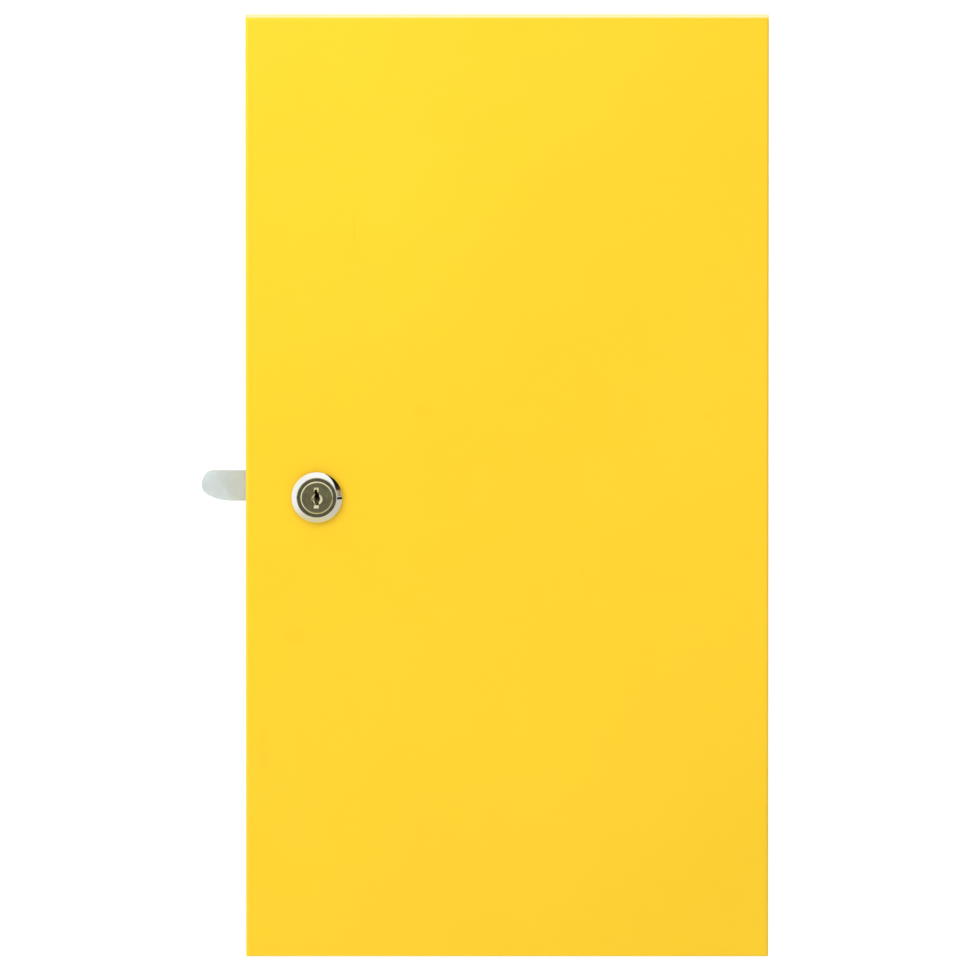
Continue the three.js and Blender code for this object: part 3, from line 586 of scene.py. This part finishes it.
def lock_bezel():
    """Chromed ring: a short wall, a crisp shoulder, a faintly convex slope and a rolled lip."""
    shoulder, shoulder_turn, wall_front = 0.35, 46, -2.35
    opening, lip, lip_turn = 9.4, 0.25, 59
    inside, inside_front, lip_back = 11.35, -1.95, -3.55
    corner = arc(BEZEL_RADIUS - shoulder, wall_front, shoulder, 0, -shoulder_turn, 6)
    roll = arc(opening + lip, BEZEL_CREST + lip, lip, -lip_turn, -180, 8)
    slope = bow(corner[-1], roll[0], BEZEL_CROWN, 14)
    profile = [(BEZEL_RADIUS - 0.1, -GAP), (BEZEL_RADIUS, -GAP - 0.1), *corner, *slope[1:-1], *roll]
    profile += [(opening, lip_back), (inside, inside_front), (inside, -GAP)]
    ring = revolved(profile, 160, closed=True)
    finished("chrome_bezel", ring, CHROME, "door", "chrome", "lock_bezel", LOCK, bevel=0, crisp=50)


def lock_housing():
    """Die-cast barrel: thread with two flats, flanged head with a turned ring, and the stop lug behind."""
    bore, counterbore, step = PLUG_RADIUS + GAP, 7.97, -0.2
    face, face_back, hollow_from = 9.36, -3.42, 8.2
    flange, flange_front = 11.1, -1.95
    lug_back, lug_in, lug_out, open_half = 16.8, 7.3, 9.0, 66
    rows, screw = thread(BARREL_RADIUS, 1.0, 0.42, 0.4, BARREL_BACK - 0.5)
    hollow = bow((hollow_from, HEAD_FRONT), (face - 0.2, HEAD_FRONT), -8, 8)
    profile = [
        (counterbore, step), (counterbore, HEAD_FRONT + 0.15), (counterbore + 0.1, HEAD_FRONT), *hollow,
        (face - 0.06, HEAD_FRONT), (face, HEAD_FRONT + 0.06), (face, face_back), (flange, flange_front),
        (flange, -GAP), (BARREL_RADIUS, -GAP), (BARREL_RADIUS, 0.1), *rows,
        (BARREL_RADIUS - 0.4, BARREL_BACK), (lug_out, BARREL_BACK), (lug_out - 0.02, BARREL_BACK),
        (lug_in + 0.02, BARREL_BACK), (lug_in, BARREL_BACK), (bore, BARREL_BACK - 0.3), (bore, step),
    ]
    raised = (lug_out - 0.02, lug_in + 0.02)

    def shape(radius, y, angle):
        radius, y, angle = screw(radius, y, angle)
        degrees = math.degrees(angle)
        if y == BARREL_BACK and any(abs(radius - r) < 1e-6 for r in raised):
            if open_half < degrees < 360 - open_half:
                y = lug_back
        if y > -0.25 and radius > BARREL_FLAT and abs(radius * math.cos(angle)) > BARREL_FLAT:
            across = math.copysign(BARREL_FLAT, math.cos(angle))
            up = radius * math.sin(angle)
            return math.hypot(across, up), y, math.atan2(up, across)
        return radius, y, angle

    barrel = revolved(profile, 120, closed=True, shape=shape)
    finished("lock_barrel", barrel, NICKEL, "door", "dark_nickel", "lock_housing", LOCK, bevel=0, crisp=40)


def keyway():
    """Blade slot with a wider middle and two wards on its left: x, z and fillet of each corner."""
    return rounded([
        (-1.1, 3.9, 0.1), (0.2, 3.9, 0.1), (0.2, 2.5, 0.1), (1.15, 1.6, 0.3), (1.15, -1.6, 0.1),
        (0.95, -1.8, 0.1), (0.95, -3.6, 0.3), (-0.6, -3.6, 0.2), (-0.6, -2.9, 0.1), (-1.1, -2.6, 0.1),
        (-1.1, -1.2, 0.1), (-0.8, -0.9, 0.05), (-0.8, -0.2, 0.05), (-1.15, 0.1, 0.1), (-1.15, 1.2, 0.1),
        (-0.8, 1.5, 0.05), (-0.8, 2.1, 0.05), (-1.1, 2.4, 0.1),
    ], 2)


def wafer_y(index):
    return WAFER_FIRST + index * WAFER_PITCH


def end_notch(inner, sill, deep):
    """Pocket at one end of the keyway, with a floor that slopes from deep at its inner end up to the sill."""
    left, right, shallow = -1.45, 0.9, 0.02
    low, high = sorted((inner, sill))
    notch = block((left, right), (PLUG_FRONT - 1, PLUG_FRONT + deep), (low, high))
    for vert in notch.verts:
        if vert.co.y > PLUG_FRONT and abs(vert.co.z - inner) > 0.1:
            vert.co.y = PLUG_FRONT + shallow
    return notch


def key_plug():
    """Plug with a turned face, dished keyhole, wafer slots, square drive and screw hole."""
    front, face, back, stub_back = PLUG_FRONT, 7.85, 15.7, 19.0
    ring_in, ring_out, ring_deep = 7.08, 7.32, 0.12
    shoulder = -0.5
    profile = [
        (0, front), (ring_in, front), (ring_in + 0.08, front + ring_deep),
        (ring_out - 0.08, front + ring_deep), (ring_out, front),
        (face - 0.03, front + 0.27), (face, front + 0.31), (face, shoulder - 0.05), (face - 0.05, shoulder),
        (PLUG_RADIUS, shoulder), (PLUG_RADIUS, back - 0.2), (PLUG_RADIUS - 0.2, back), (0, back),
    ]
    body = revolved(profile, 128)

    drive = block((-STUB_HALF, STUB_HALF), (back - 1, stub_back), (-STUB_HALF, STUB_HALF))
    corner = 4.7
    turned = [(0, back - 1), (corner, back - 1), (corner, stub_back - 0.3), (corner - 0.3, stub_back)]
    drive = combined(drive, "INTERSECT", [revolved([*turned, (0, stub_back)], 64)])

    dish_out, dish_in, dish_deep, dish_z = 2.8, 1.7, 0.8, -0.5
    bowl = bow((dish_out, front), (dish_in, front + dish_deep), -24, 6)
    dish = revolved([(0, front - 1), (dish_out, front - 1), *bowl, (0, front + dish_deep)], 96)
    dish = moved(dish, Matrix.Translation((0, 0, dish_z)))
    notches = [end_notch(2.9, 4.95, 0.65), end_notch(-3.4, -5.0, 0.65)]

    slot_back, slot_floor, slant = 12.5, -3.6, 0.27
    slot = plate(keyway(), front - 1, slot_back)
    for vert in slot.verts:
        if vert.co.y > slot_back - 0.5:
            vert.co.y -= slant * (vert.co.z - slot_floor)  # the broach runs out on a slant

    hole_radius, hole_front = 2.8, 13.2
    hole = [(0, hole_front), (hole_radius, hole_front), (hole_radius, stub_back + 1), (0, stub_back + 1)]
    cutters = [dish, *notches, slot, revolved(hole, 40)]
    slot_half, wafer_half = 0.8, 3.8
    for index in range(WAFER_COUNT):
        y = (wafer_y(index) - slot_half, wafer_y(index) + slot_half)
        cutters.append(block((-wafer_half, wafer_half), y, (-8, 8)))
        cutters.append(block((1.0, 5.6), y, (-3.5, 1.3)))  # room for the wafer's ear and its spring
    plug = cut(join(body, drive), *cutters)
    edge = {"bevel": 0, "crisp": 20}
    finished("key_plug_turned", plug, NICKEL, PLUG_TURN, "dark_nickel", "key_plug", LOCK, **edge)


def wafers_and_springs():
    """Five brass wafers, each with an ear on its right that a small coil spring pushes up."""
    radius, half_width, half_thick, window_half, window_top = 6.7, 3.5, 0.5, 1.7, 4.1
    ear = [(half_width, -0.5), (5.3, -0.5), (5.3, 0.7), (half_width, 0.7)]
    end = math.degrees(math.asin(half_width / radius))
    top = arc(0, 0, radius, 90 + end, 90 - end, 12)[::-1]
    bottom = arc(0, 0, radius, 270 + end, 270 - end, 12)[::-1]
    turns, per_turn, low, high = 4, 20, -3.2, -0.8
    coil_x, coil_radius, wire = 4.75, 0.45, 0.13
    steps = turns * per_turn
    for index, sill in enumerate(WAFER_SILLS):
        y = wafer_y(index)
        window = rectangle(-window_half, sill, window_half, window_top, 0.3)
        wafer = plate(bottom + ear + top, y - half_thick, y + half_thick, [window])
        name = f"wafer_{index + 1}"
        finished(f"brass_{name}", wafer, BRASS, PLUG_TURN, "brass", name, LOCK, bevel=0.08, steps=2)
        line = []
        for k in range(steps + 1):
            angle = 2 * math.pi * k / per_turn
            rise = low + wire + (high - low - 2 * wire) * k / steps
            out, along = coil_radius * math.cos(angle), coil_radius * math.sin(angle)
            line.append(Vector((coil_x + out, y + along, rise)))
        spring = f"wafer_spring_{index + 1}"
        coil = tube(line, wire, 8)
        finished(f"coil_{spring}", coil, SPRING, PLUG_TURN, "spring_steel", spring, LOCK, bevel=0, crisp=60)


def drive_hole():
    half = STUB_HALF + GAP
    return rectangle(-half, -half, half, half, 0.4)


def stop_washer():
    """Washer on the square drive whose tab meets the housing's lug a quarter turn apart."""
    front, thick, radius, tab_radius, tab_at, tab_half, root = 16.0, 1.0, 6.9, 8.8, 45, 18, 2
    tab = arc(0, 0, tab_radius, tab_at - tab_half, tab_at + tab_half, 8)
    rest = arc(0, 0, radius, tab_at + tab_half + root, 360 + tab_at - tab_half - root, 60)
    washer = plate([*tab, *rest], front, front + thick, [drive_hole()])
    finished("quarter_turn_washer", washer, ZINC, PLUG_TURN, "zinc_plate", "stop_washer", LOCK, bevel=0.12)


def lock_cam():
    """Flat stamped cam: round hub, arm set above the axis, blunt tip bent back along a slanting line."""
    front, thick, hub, reach = 17.3, 2.0, 9.0, (LOCK.x - CAM_LOW.x) / MM
    top, bottom, corner, middle = 10.75, -3.75, 8.5, 3.3
    tip_top, tip_bottom = 6.1, 14.7
    crease_top_in, crease_bottom_in, bend = 6.5, 15.0, 7  # the crease's ends, in from the tip; degrees
    hub_angle = math.degrees(math.asin(bottom / hub))
    outline = [
        *arc(hub - corner, top - corner, corner, 0, 90, 16),
        *arc(tip_top - reach, middle, tip_top, 90, 180, 14, radius_y=top - middle),
        *arc(tip_bottom - reach, middle, tip_bottom, 180, 270, 18, radius_y=middle - bottom)[1:],
        *arc(0, 0, hub, 180 - hub_angle, 360, 22),
    ]
    cam = plate(outline, front, front + thick, [drive_hole()])
    crease_top = Vector((crease_top_in - reach, 0, top))
    crease_bottom = Vector((crease_bottom_in - reach, 0, bottom))
    run = (crease_bottom - crease_top).normalized()
    normal = Vector((run.z, 0, -run.x))
    everything = cam.verts[:] + cam.edges[:] + cam.faces[:]
    bmesh.ops.bisect_plane(cam, geom=everything, plane_co=crease_top, plane_no=normal, dist=1e-5)
    slope = math.tan(math.radians(bend))
    for vert in cam.verts:
        beyond = (vert.co - crease_top).dot(normal)
        vert.co.y += max(0.0, beyond) * slope
    finished("stamped_cam", cam, CAM_ZINC, PLUG_TURN, "zinc_plate", "lock_cam", LOCK, bevel=0.28, crisp=25)


def threaded_shank(radius, pitch, start, end):
    """Rows and shape of a threaded shank whose chamfered tip is at start."""
    chamfer = 0.4
    rows, shape = thread(radius, pitch, pitch * 0.5, start + chamfer * 1.5, end)
    return [(0, start), (radius - chamfer * 1.3, start), (radius, start + chamfer), *rows], shape


def cam_screw():
    """Pan-head screw with a tapered cross recess."""
    shank, head_front, head_back, head, rim = 2.5, 21.1, 24.2, 4.6, 1.0
    rows, shape = threaded_shank(shank, 0.8, 13.6, 20.4)
    dome = arc(0, head_front + rim, head, 0, 90, 14, radius_y=head_back - head_front - rim)
    profile = [*rows, (shank, head_front), (head - 0.15, head_front), (head, head_front + 0.15), *dome[:-1]]
    screw = revolved([*profile, (0, head_back)], 64, shape=shape)
    half_long, half_wide, deep = 2.2, 0.45, 1.7
    cross = []
    for swap in (False, True):
        arm = block((-half_long, half_long), (head_back - deep, head_back + 1), (-half_wide, half_wide))
        for vert in arm.verts:
            if vert.co.y < head_back:
                vert.co.x *= 0.45
                vert.co.z *= 0.8
        cross.append(moved(arm, Matrix.Rotation(math.pi / 2 * swap, 4, "Y")))
    screw = cut(screw, *cross)
    edge = {"bevel": 0.06, "steps": 2, "limit": 45}
    finished("cam_fixing_screw", screw, ZINC, PLUG_TURN, "zinc_plate", "cam_screw", LOCK, **edge)


def spring_washer():
    """Split lock washer: a square wire turned once, its two ends sprung a little apart."""
    inner, outer, front, back, spring = 2.8, 4.9, 19.7, 20.7, 0.12
    steps, half_gap = 60, math.radians(6)
    section = rectangle(inner, front, outer, back, 0.12)
    bm = bmesh.new()
    rings = []
    for k in range(steps + 1):
        angle = half_gap + (2 * math.pi - 2 * half_gap) * k / steps
        offset = spring * (k / steps - 0.5)
        ring = [(r * math.cos(angle), y + offset, r * math.sin(angle)) for r, y in section]
        rings.append([bm.verts.new(spot) for spot in ring])
    for a, b in zip(rings, rings[1:]):
        for n in range(len(a)):
            m = (n + 1) % len(a)
            bm.faces.new((a[n], a[m], b[m], b[n]))
    bm.faces.new(rings[0])
    bm.faces.new(rings[-1][::-1])
    bmesh.ops.recalc_face_normals(bm, faces=bm.faces)
    edge = {"bevel": 0, "crisp": 50}
    finished("split_washer", bm, SPRING, PLUG_TURN, "spring_steel", "cam_spring_washer", LOCK, **edge)


def hex_nut(across, front, back, bore, segments):
    """Hexagon with turned chamfers on both faces and a countersunk bore."""
    half, sink = across / 2, 0.35
    lean = half * (2 / math.sqrt(3) - 1) * math.tan(math.radians(30))
    wide, mouth = across / math.sqrt(3) + 0.01, bore + sink + 1
    barrel = [(0, front), (half - 0.1, front), (wide, front + lean), (wide, back - lean), (half - 0.1, back)]
    turned = revolved([*barrel, (0, back)], 120)
    hexagonal = combined(plate(hexagon(across), front - 1, back + 1), "INTERSECT", [turned])
    hole = [(0, front - 1), (mouth, front - 1), (bore, front + sink), (bore, back - sink), (mouth, back + 1)]
    return cut(hexagonal, revolved([*hole, (0, back + 1)], segments))


def lock_nut():
    nut = hex_nut(24.0, 2.7, 6.2, BARREL_RADIUS + GAP, 120)
    finished("barrel_nut", nut, ZINC, "door", "zinc_plate", "lock_nut", LOCK, bevel=0.15)


def tooth_washer():
    """Washer whose outer teeth are each twisted a little out of its plane."""
    inner, root, tip, front, back, teeth, twist = 9.6, 11.9, 13.0, 1.65, 2.25, 16, 0.15
    shares = ((0.05, root), (0.3, tip), (0.55, tip), (0.95, root))
    tooth_middle = 0.42
    outline = []
    for tooth in range(teeth):
        for share, radius in shares:
            angle = 2 * math.pi * (tooth + share) / teeth
            outline.append((radius * math.cos(angle), radius * math.sin(angle)))
    washer = plate(outline, front, back, [circle(inner, 96)])
    for vert in washer.verts:
        if math.hypot(vert.co.x, vert.co.z) > root + 0.3:
            share = (math.atan2(vert.co.z, vert.co.x) / (2 * math.pi) * teeth) % 1
            vert.co.y += twist if share > tooth_middle else -twist
    edge = {"bevel": 0.06, "steps": 2}
    finished("toothed_washer", washer, ZINC, "door", "zinc_plate", "lock_tooth_washer", LOCK, **edge)


# ---------------------------------------------------------------- hinges

def rolled_leaf(facing, width, notches, holes):
    """Sheet leaf rolled round the pin: its flat in front (-1) or behind (1), notched for the other leaf."""
    inner, bore, seam = KNUCKLE - LEAF, PIN + GAP, 20
    end = 360 - math.degrees(math.acos(inner / KNUCKLE))
    outside = arc(0, 0, KNUCKLE, 0, end - 2, 44)
    inside = arc(0, 0, bore, end - seam - 2, 0, 44)
    hook = [(KNUCKLE, -width), *outside, *inside, (inner, -width)]
    outline = [(x, -facing * y) for x, y in hook]
    leaf = plate(outline, -LEAF_HALF, LEAF_HALF, along=ALONG_Z)
    room = KNUCKLE + 0.6
    past = KNUCKLE + 2
    cutters = [plate(rectangle(-past, -room, past, room), *notch, along=ALONG_Z) for notch in notches]
    return cut(leaf, *cutters, *holes)


def hole_along_x(y, z, rows):
    """Turned cutter along X; rows are (radius, x)."""
    return moved(revolved(rows, 48), Matrix.Rotation(-math.pi / 2, 4, "Z"), Matrix.Translation((0, y, z)))


def door_leaf(side, at):
    """Leaf with one knuckle, which stands inside the door's flange on two studs."""
    knuckle, past, radius = DOOR_KNUCKLE_HALF, LEAF_HALF + 1, PIN + GAP
    rows = [(0, 0), (radius, 0), (radius, 5), (0, 5)]
    holes = [hole_along_x(STUD_Y, z, rows) for z in (-STUD_Z, STUD_Z)]
    leaf = rolled_leaf(-1, DOOR_LEAF_WIDTH, [(-past, -knuckle), (knuckle, past)], holes)
    node = f"hinge_door_leaf_{side}"
    finished(f"rolled_{node}", leaf, ZINC, "door", "zinc_plate", node, at, **LEAF_EDGE)


def case_leaf(side, at):
    """Leaf with two knuckles and two countersunk holes, which lies on the case's side wall."""
    knuckle, hole, head, slope = DOOR_KNUCKLE_HALF + 0.4, 2.1, 4.0, 0.6
    inner_face = KNUCKLE - LEAF
    sink = [(0, 0.8), (head + slope, 0.8), (head, inner_face), (hole, KNUCKLE - GAP), (hole, 5), (0, 5)]
    holes = [hole_along_x(CASE_HOLE_Y, z, sink) for z in (-CASE_HOLE_Z, CASE_HOLE_Z)]
    leaf = rolled_leaf(1, CASE_LEAF_WIDTH, [(-knuckle, knuckle)], holes)
    node = f"hinge_case_leaf_{side}"
    finished(f"rolled_{node}", leaf, ZINC, "case_side", "zinc_plate", node, at, **LEAF_EDGE)


def hinge_pin(side, at):
    """Pin with a rounded head above the top knuckle and a softened tail below the bottom one."""
    top, bottom, head, tall = LEAF_HALF + GAP, -LEAF_HALF - 0.8, 2.5, 1.2
    crown_round, tail_round = 0.5, 0.35
    crown = arc(head - crown_round, top + tall - crown_round, crown_round, 0, 90, 6)
    tail = arc(PIN - tail_round, bottom + tail_round, tail_round, 270, 360, 5)
    shank = [(0, bottom), *tail, (PIN, top)]
    cap = [(head - 0.15, top), (head, top + 0.15), *crown, (0, top + tall)]
    pin = moved(revolved([*shank, *cap], 48), Matrix.Rotation(math.pi / 2, 4, "X"))
    node = f"hinge_pin_{side}"
    finished(f"steel_{node}", pin, ZINC, "case_side", "zinc_plate", node, at, bevel=0, crisp=40)


def along_minus_x(bm, x, y, z):
    """A solid turned about Y, with its tip at low y, laid along X with that tip towards -X."""
    return moved(bm, Matrix.Rotation(-math.pi / 2, 4, "Z"), Matrix.Translation((x, y, z)))


def stud_and_nut(side, end, z, at):
    """Stud on the flange's inner face, and the flanged nut that holds the leaf on it."""
    name = f"{side}_{end}"
    rows, shape = threaded_shank(PIN, 0.5, -7.4, -0.6)
    stud = revolved([*rows, (PIN, 0), (0, 0)], 48, shape=shape)
    stud = along_minus_x(stud, KNUCKLE, STUD_Y, z)
    finished(f"threaded_stud_{name}", stud, ZINC, "door", "zinc_plate", f"hinge_stud_{name}", at, **STUD_EDGE)
    across, tall, flange, flange_tall, bore = 5.5, 2.8, 3.6, 0.7, PIN + GAP
    nut = hex_nut(across, -tall, -0.2, bore, 40)
    rim = [(flange, -flange_tall + 0.25), (flange, -0.1), (flange - 0.1, 0)]
    skirt = [(bore, -0.9), (2.9, -0.95), *rim, (bore, 0)]
    nut = join(nut, revolved(skirt, 64, closed=True))
    nut = along_minus_x(nut, KNUCKLE - LEAF - GAP, STUD_Y, z)
    finished(f"flange_nut_{name}", nut, ZINC, "door", "zinc_plate", f"hinge_nut_{name}", at, **NUT_EDGE)


def hinges():
    for side in HINGE_SIDES:
        low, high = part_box(f"hinge_case_leaf_{side}")
        at = Vector((HINGE_AXIS.x, HINGE_AXIS.y, (low.z + high.z) / 2))
        door_leaf(side, at)
        case_leaf(side, at)
        hinge_pin(side, at)
        for end, z in (("bottom", -STUD_Z), ("top", STUD_Z)):
            stud_and_nut(side, end, z, at)


# ---------------------------------------------------------------- studio

VIEW_WIDTH = 0.4638  # width of the picture at the door, metres
VIEW_ELEVATION = 6.5
AIM_RISE = 0.75  # how much of the top flange's strip the aim is raised by
LENS, SENSOR = 1400.0, 36.0
FLOOR_DROP = 0.25  # the door hangs this far above the floor, metres
FLOOR_HALF = 30.0


def camera():
    """Long lens, almost square on to the door and a little above it, aimed at the middle of what it sees."""
    tilt = math.radians(VIEW_ELEVATION)
    rise = PANEL_DEPTH * MM * math.sin(tilt)  # the top flange shows above the front face
    aim_x = (CAM_LOW.x + PANEL_HIGH.x) / 2
    aim_z = (PANEL_LOW.z + PANEL_HIGH.z) / 2 + AIM_RISE * rise
    aim = Vector((aim_x, PANEL_LOW.y, aim_z))
    data = bpy.data.cameras.new("camera")
    data.lens, data.sensor_width = LENS, SENSOR
    back = Vector((0, -math.cos(tilt), math.sin(tilt)))
    distance = VIEW_WIDTH * LENS / SENSOR
    data.clip_start, data.clip_end = 0.1, 60.0
    eye = bpy.data.objects.new("camera", data)
    bpy.context.scene.collection.objects.link(eye)
    eye.location = aim + back * distance
    eye.rotation_mode = "QUATERNION"
    eye.rotation_quaternion = (-back).to_track_quat("-Z", "Y")
    bpy.context.scene.camera = eye


KEY_POWER, KEY_SIZE = 5.35, 1.0
KEY_COLOUR = (1.0, 0.99, 0.98)
KEY_FROM_CORNER = Vector((-0.2, -0.6, 0.26))  # from the upper left corner of the door's front


def lights():
    """One soft key in front of the door's upper left corner, so the paint falls off to the lower right."""
    data = bpy.data.lights.new("key_softbox", "AREA")
    data.shape, data.size = "SQUARE", KEY_SIZE
    data.energy, data.color = KEY_POWER, KEY_COLOUR
    lamp = bpy.data.objects.new("key_softbox", data)
    bpy.context.scene.collection.objects.link(lamp)
    lamp.location = Vector((PANEL_LOW.x, PANEL_LOW.y, PANEL_HIGH.z)) + KEY_FROM_CORNER
    lamp.rotation_mode = "QUATERNION"
    lamp.rotation_quaternion = ((PANEL_LOW + PANEL_HIGH) / 2 - lamp.location).to_track_quat("-Z", "Y")
    lamp.visible_camera = lamp.visible_glossy = False


LEFT, RIGHT = (-1, 0, 0), (1, 0, 0)
FRONT, BACK = (0, -1, 0), (0, 1, 0)
DOWN, UP = (0, 0, -1), (0, 0, 1)
MIRRORED = (0.0, -0.994, -0.113)  # what a flat front face mirrors to a viewer a little above it
SLANT = (0.255, 0.921, -0.295)  # across the left border of the dark corner


def world():
    """Pale room: white above and to the left, dim straight ahead, one dark corner and a gap at the right."""
    room = bpy.data.worlds.new("studio")
    bpy.context.scene.world = room
    room.use_nodes = True
    room.node_tree.nodes.clear()
    sky = Nodes(room.node_tree)
    direction = sky.add("ShaderNodeTexCoord").outputs["Generated"]
    height = sky.axes(direction)["Z"]

    def beyond(normal, offset, soft=0.02):
        """1 on the far side of a plane through the sky, 0 on the near side."""
        dot = sky.add("ShaderNodeVectorMath", {0: direction, 1: normal}, operation="DOT_PRODUCT")
        return sky.span(dot.outputs["Value"], offset - soft, offset + soft)

    def both(*parts):
        result = parts[0]
        for part in parts[1:]:
            result = sky.maths("MULTIPLY", result, part)
        return result

    def band(low, high, soft):
        return both(beyond(UP, low, soft), beyond(DOWN, -high, soft))

    def tone(red, green, blue):
        return red, green, blue, 1

    streak = sky.add("ShaderNodeTexNoise", {"Vector": direction, "Scale": 9.0, "Detail": 3.0}).outputs["Fac"]
    tan = sky.mix(sky.span(streak, 0.4, 0.6), tone(0.28, 0.19, 0.08), tone(0.55, 0.48, 0.27))
    corner = both(beyond(SLANT, -0.33, 0.015), beyond(RIGHT, 0.36), beyond(FRONT, -0.25))
    zones = (
        (beyond(BACK, 0.6, 0.2), tone(1.2, 1.2, 1.2)),
        (beyond(DOWN, 0.1, 0.1), tone(0.97, 0.96, 0.91)),
        (sky.span(height, -0.25, -0.95), tone(0.76, 0.68, 0.38)),  # straight down
        (both(beyond(LEFT, 0.5, 0.3), beyond(UP, -0.5, 0.3)), tone(1.01, 1.02, 0.93)),
        (both(beyond(BACK, 0.3, 0.15), beyond(UP, 0.3, 0.1)), tone(2.0, 2.0, 1.9)),
        (both(beyond(BACK, 0.35, 0.1), beyond(RIGHT, 0.3, 0.1)), tone(1.8, 1.8, 1.7)),
        (beyond(MIRRORED, 0.93, 0.05), tone(0.145, 0.138, 0.10)),
        (both(beyond(RIGHT, 0.45, 0.25), beyond(DOWN, 0.1, 0.1)), tone(0.66, 0.62, 0.5)),
        (both(corner, band(-0.05, 0.4, 0.02)), tan),
        (both(corner, beyond(UP, 0.22, 0.04)), tone(0.06, 0.03, 0.012)),  # dark wood above the tan
        (both(corner, beyond(UP, 0.36, 0.05)), tone(0.014, 0.013, 0.009)),  # and black above that
        (both(beyond(RIGHT, 0.5), band(-0.18, -0.075, 0.015)), tone(0.01, 0.009, 0.008)),  # the gap
    )
    colour = sky.mix(sky.span(height, 0.2, 0.85), tone(0.84, 0.84, 0.81), tone(1.09, 1.08, 1.02))
    for where, laid in zones:
        colour = sky.mix(where, colour, laid)
    seen = sky.add("ShaderNodeLightPath").outputs["Is Camera Ray"]
    surface = sky.add("ShaderNodeBackground", {"Color": sky.mix(seen, colour, tone(1.0, 1.0, 1.0))})
    sky.add("ShaderNodeOutputWorld", {"Surface": surface.outputs[0]})


def floor():
    """Wide pale floor that the mirror-bright parts don't see."""
    bm = bmesh.new()
    corners = rectangle(-FLOOR_HALF, -FLOOR_HALF, FLOOR_HALF, FLOOR_HALF)
    bm.faces.new([bm.verts.new((x, y, 0)) for x, y in corners])
    mesh = bpy.data.meshes.new("floor")
    bm.to_mesh(mesh)
    bm.free()
    ground = bpy.data.objects.new("floor", mesh)
    bpy.context.scene.collection.objects.link(ground)
    ground.location = (0, 0, PANEL_LOW.z - FLOOR_DROP)
    plain = Finish("pale_floor", Specular_IOR_Level=0.0)
    tone = plain.mix(plain.noise(3.0), (0.93, 0.93, 0.93, 1), (0.95, 0.95, 0.95, 1))
    mesh.materials.append(plain.done(tone, 0.8))
    ground.visible_glossy = False


camera()
door_panel()
lock_bezel()
lock_housing()
key_plug()
wafers_and_springs()
stop_washer()
lock_cam()
cam_screw()
spring_washer()
lock_nut()
tooth_washer()
hinges()
world()
lights()
floor()
bpy.context.scene.view_settings.view_transform = "Standard"
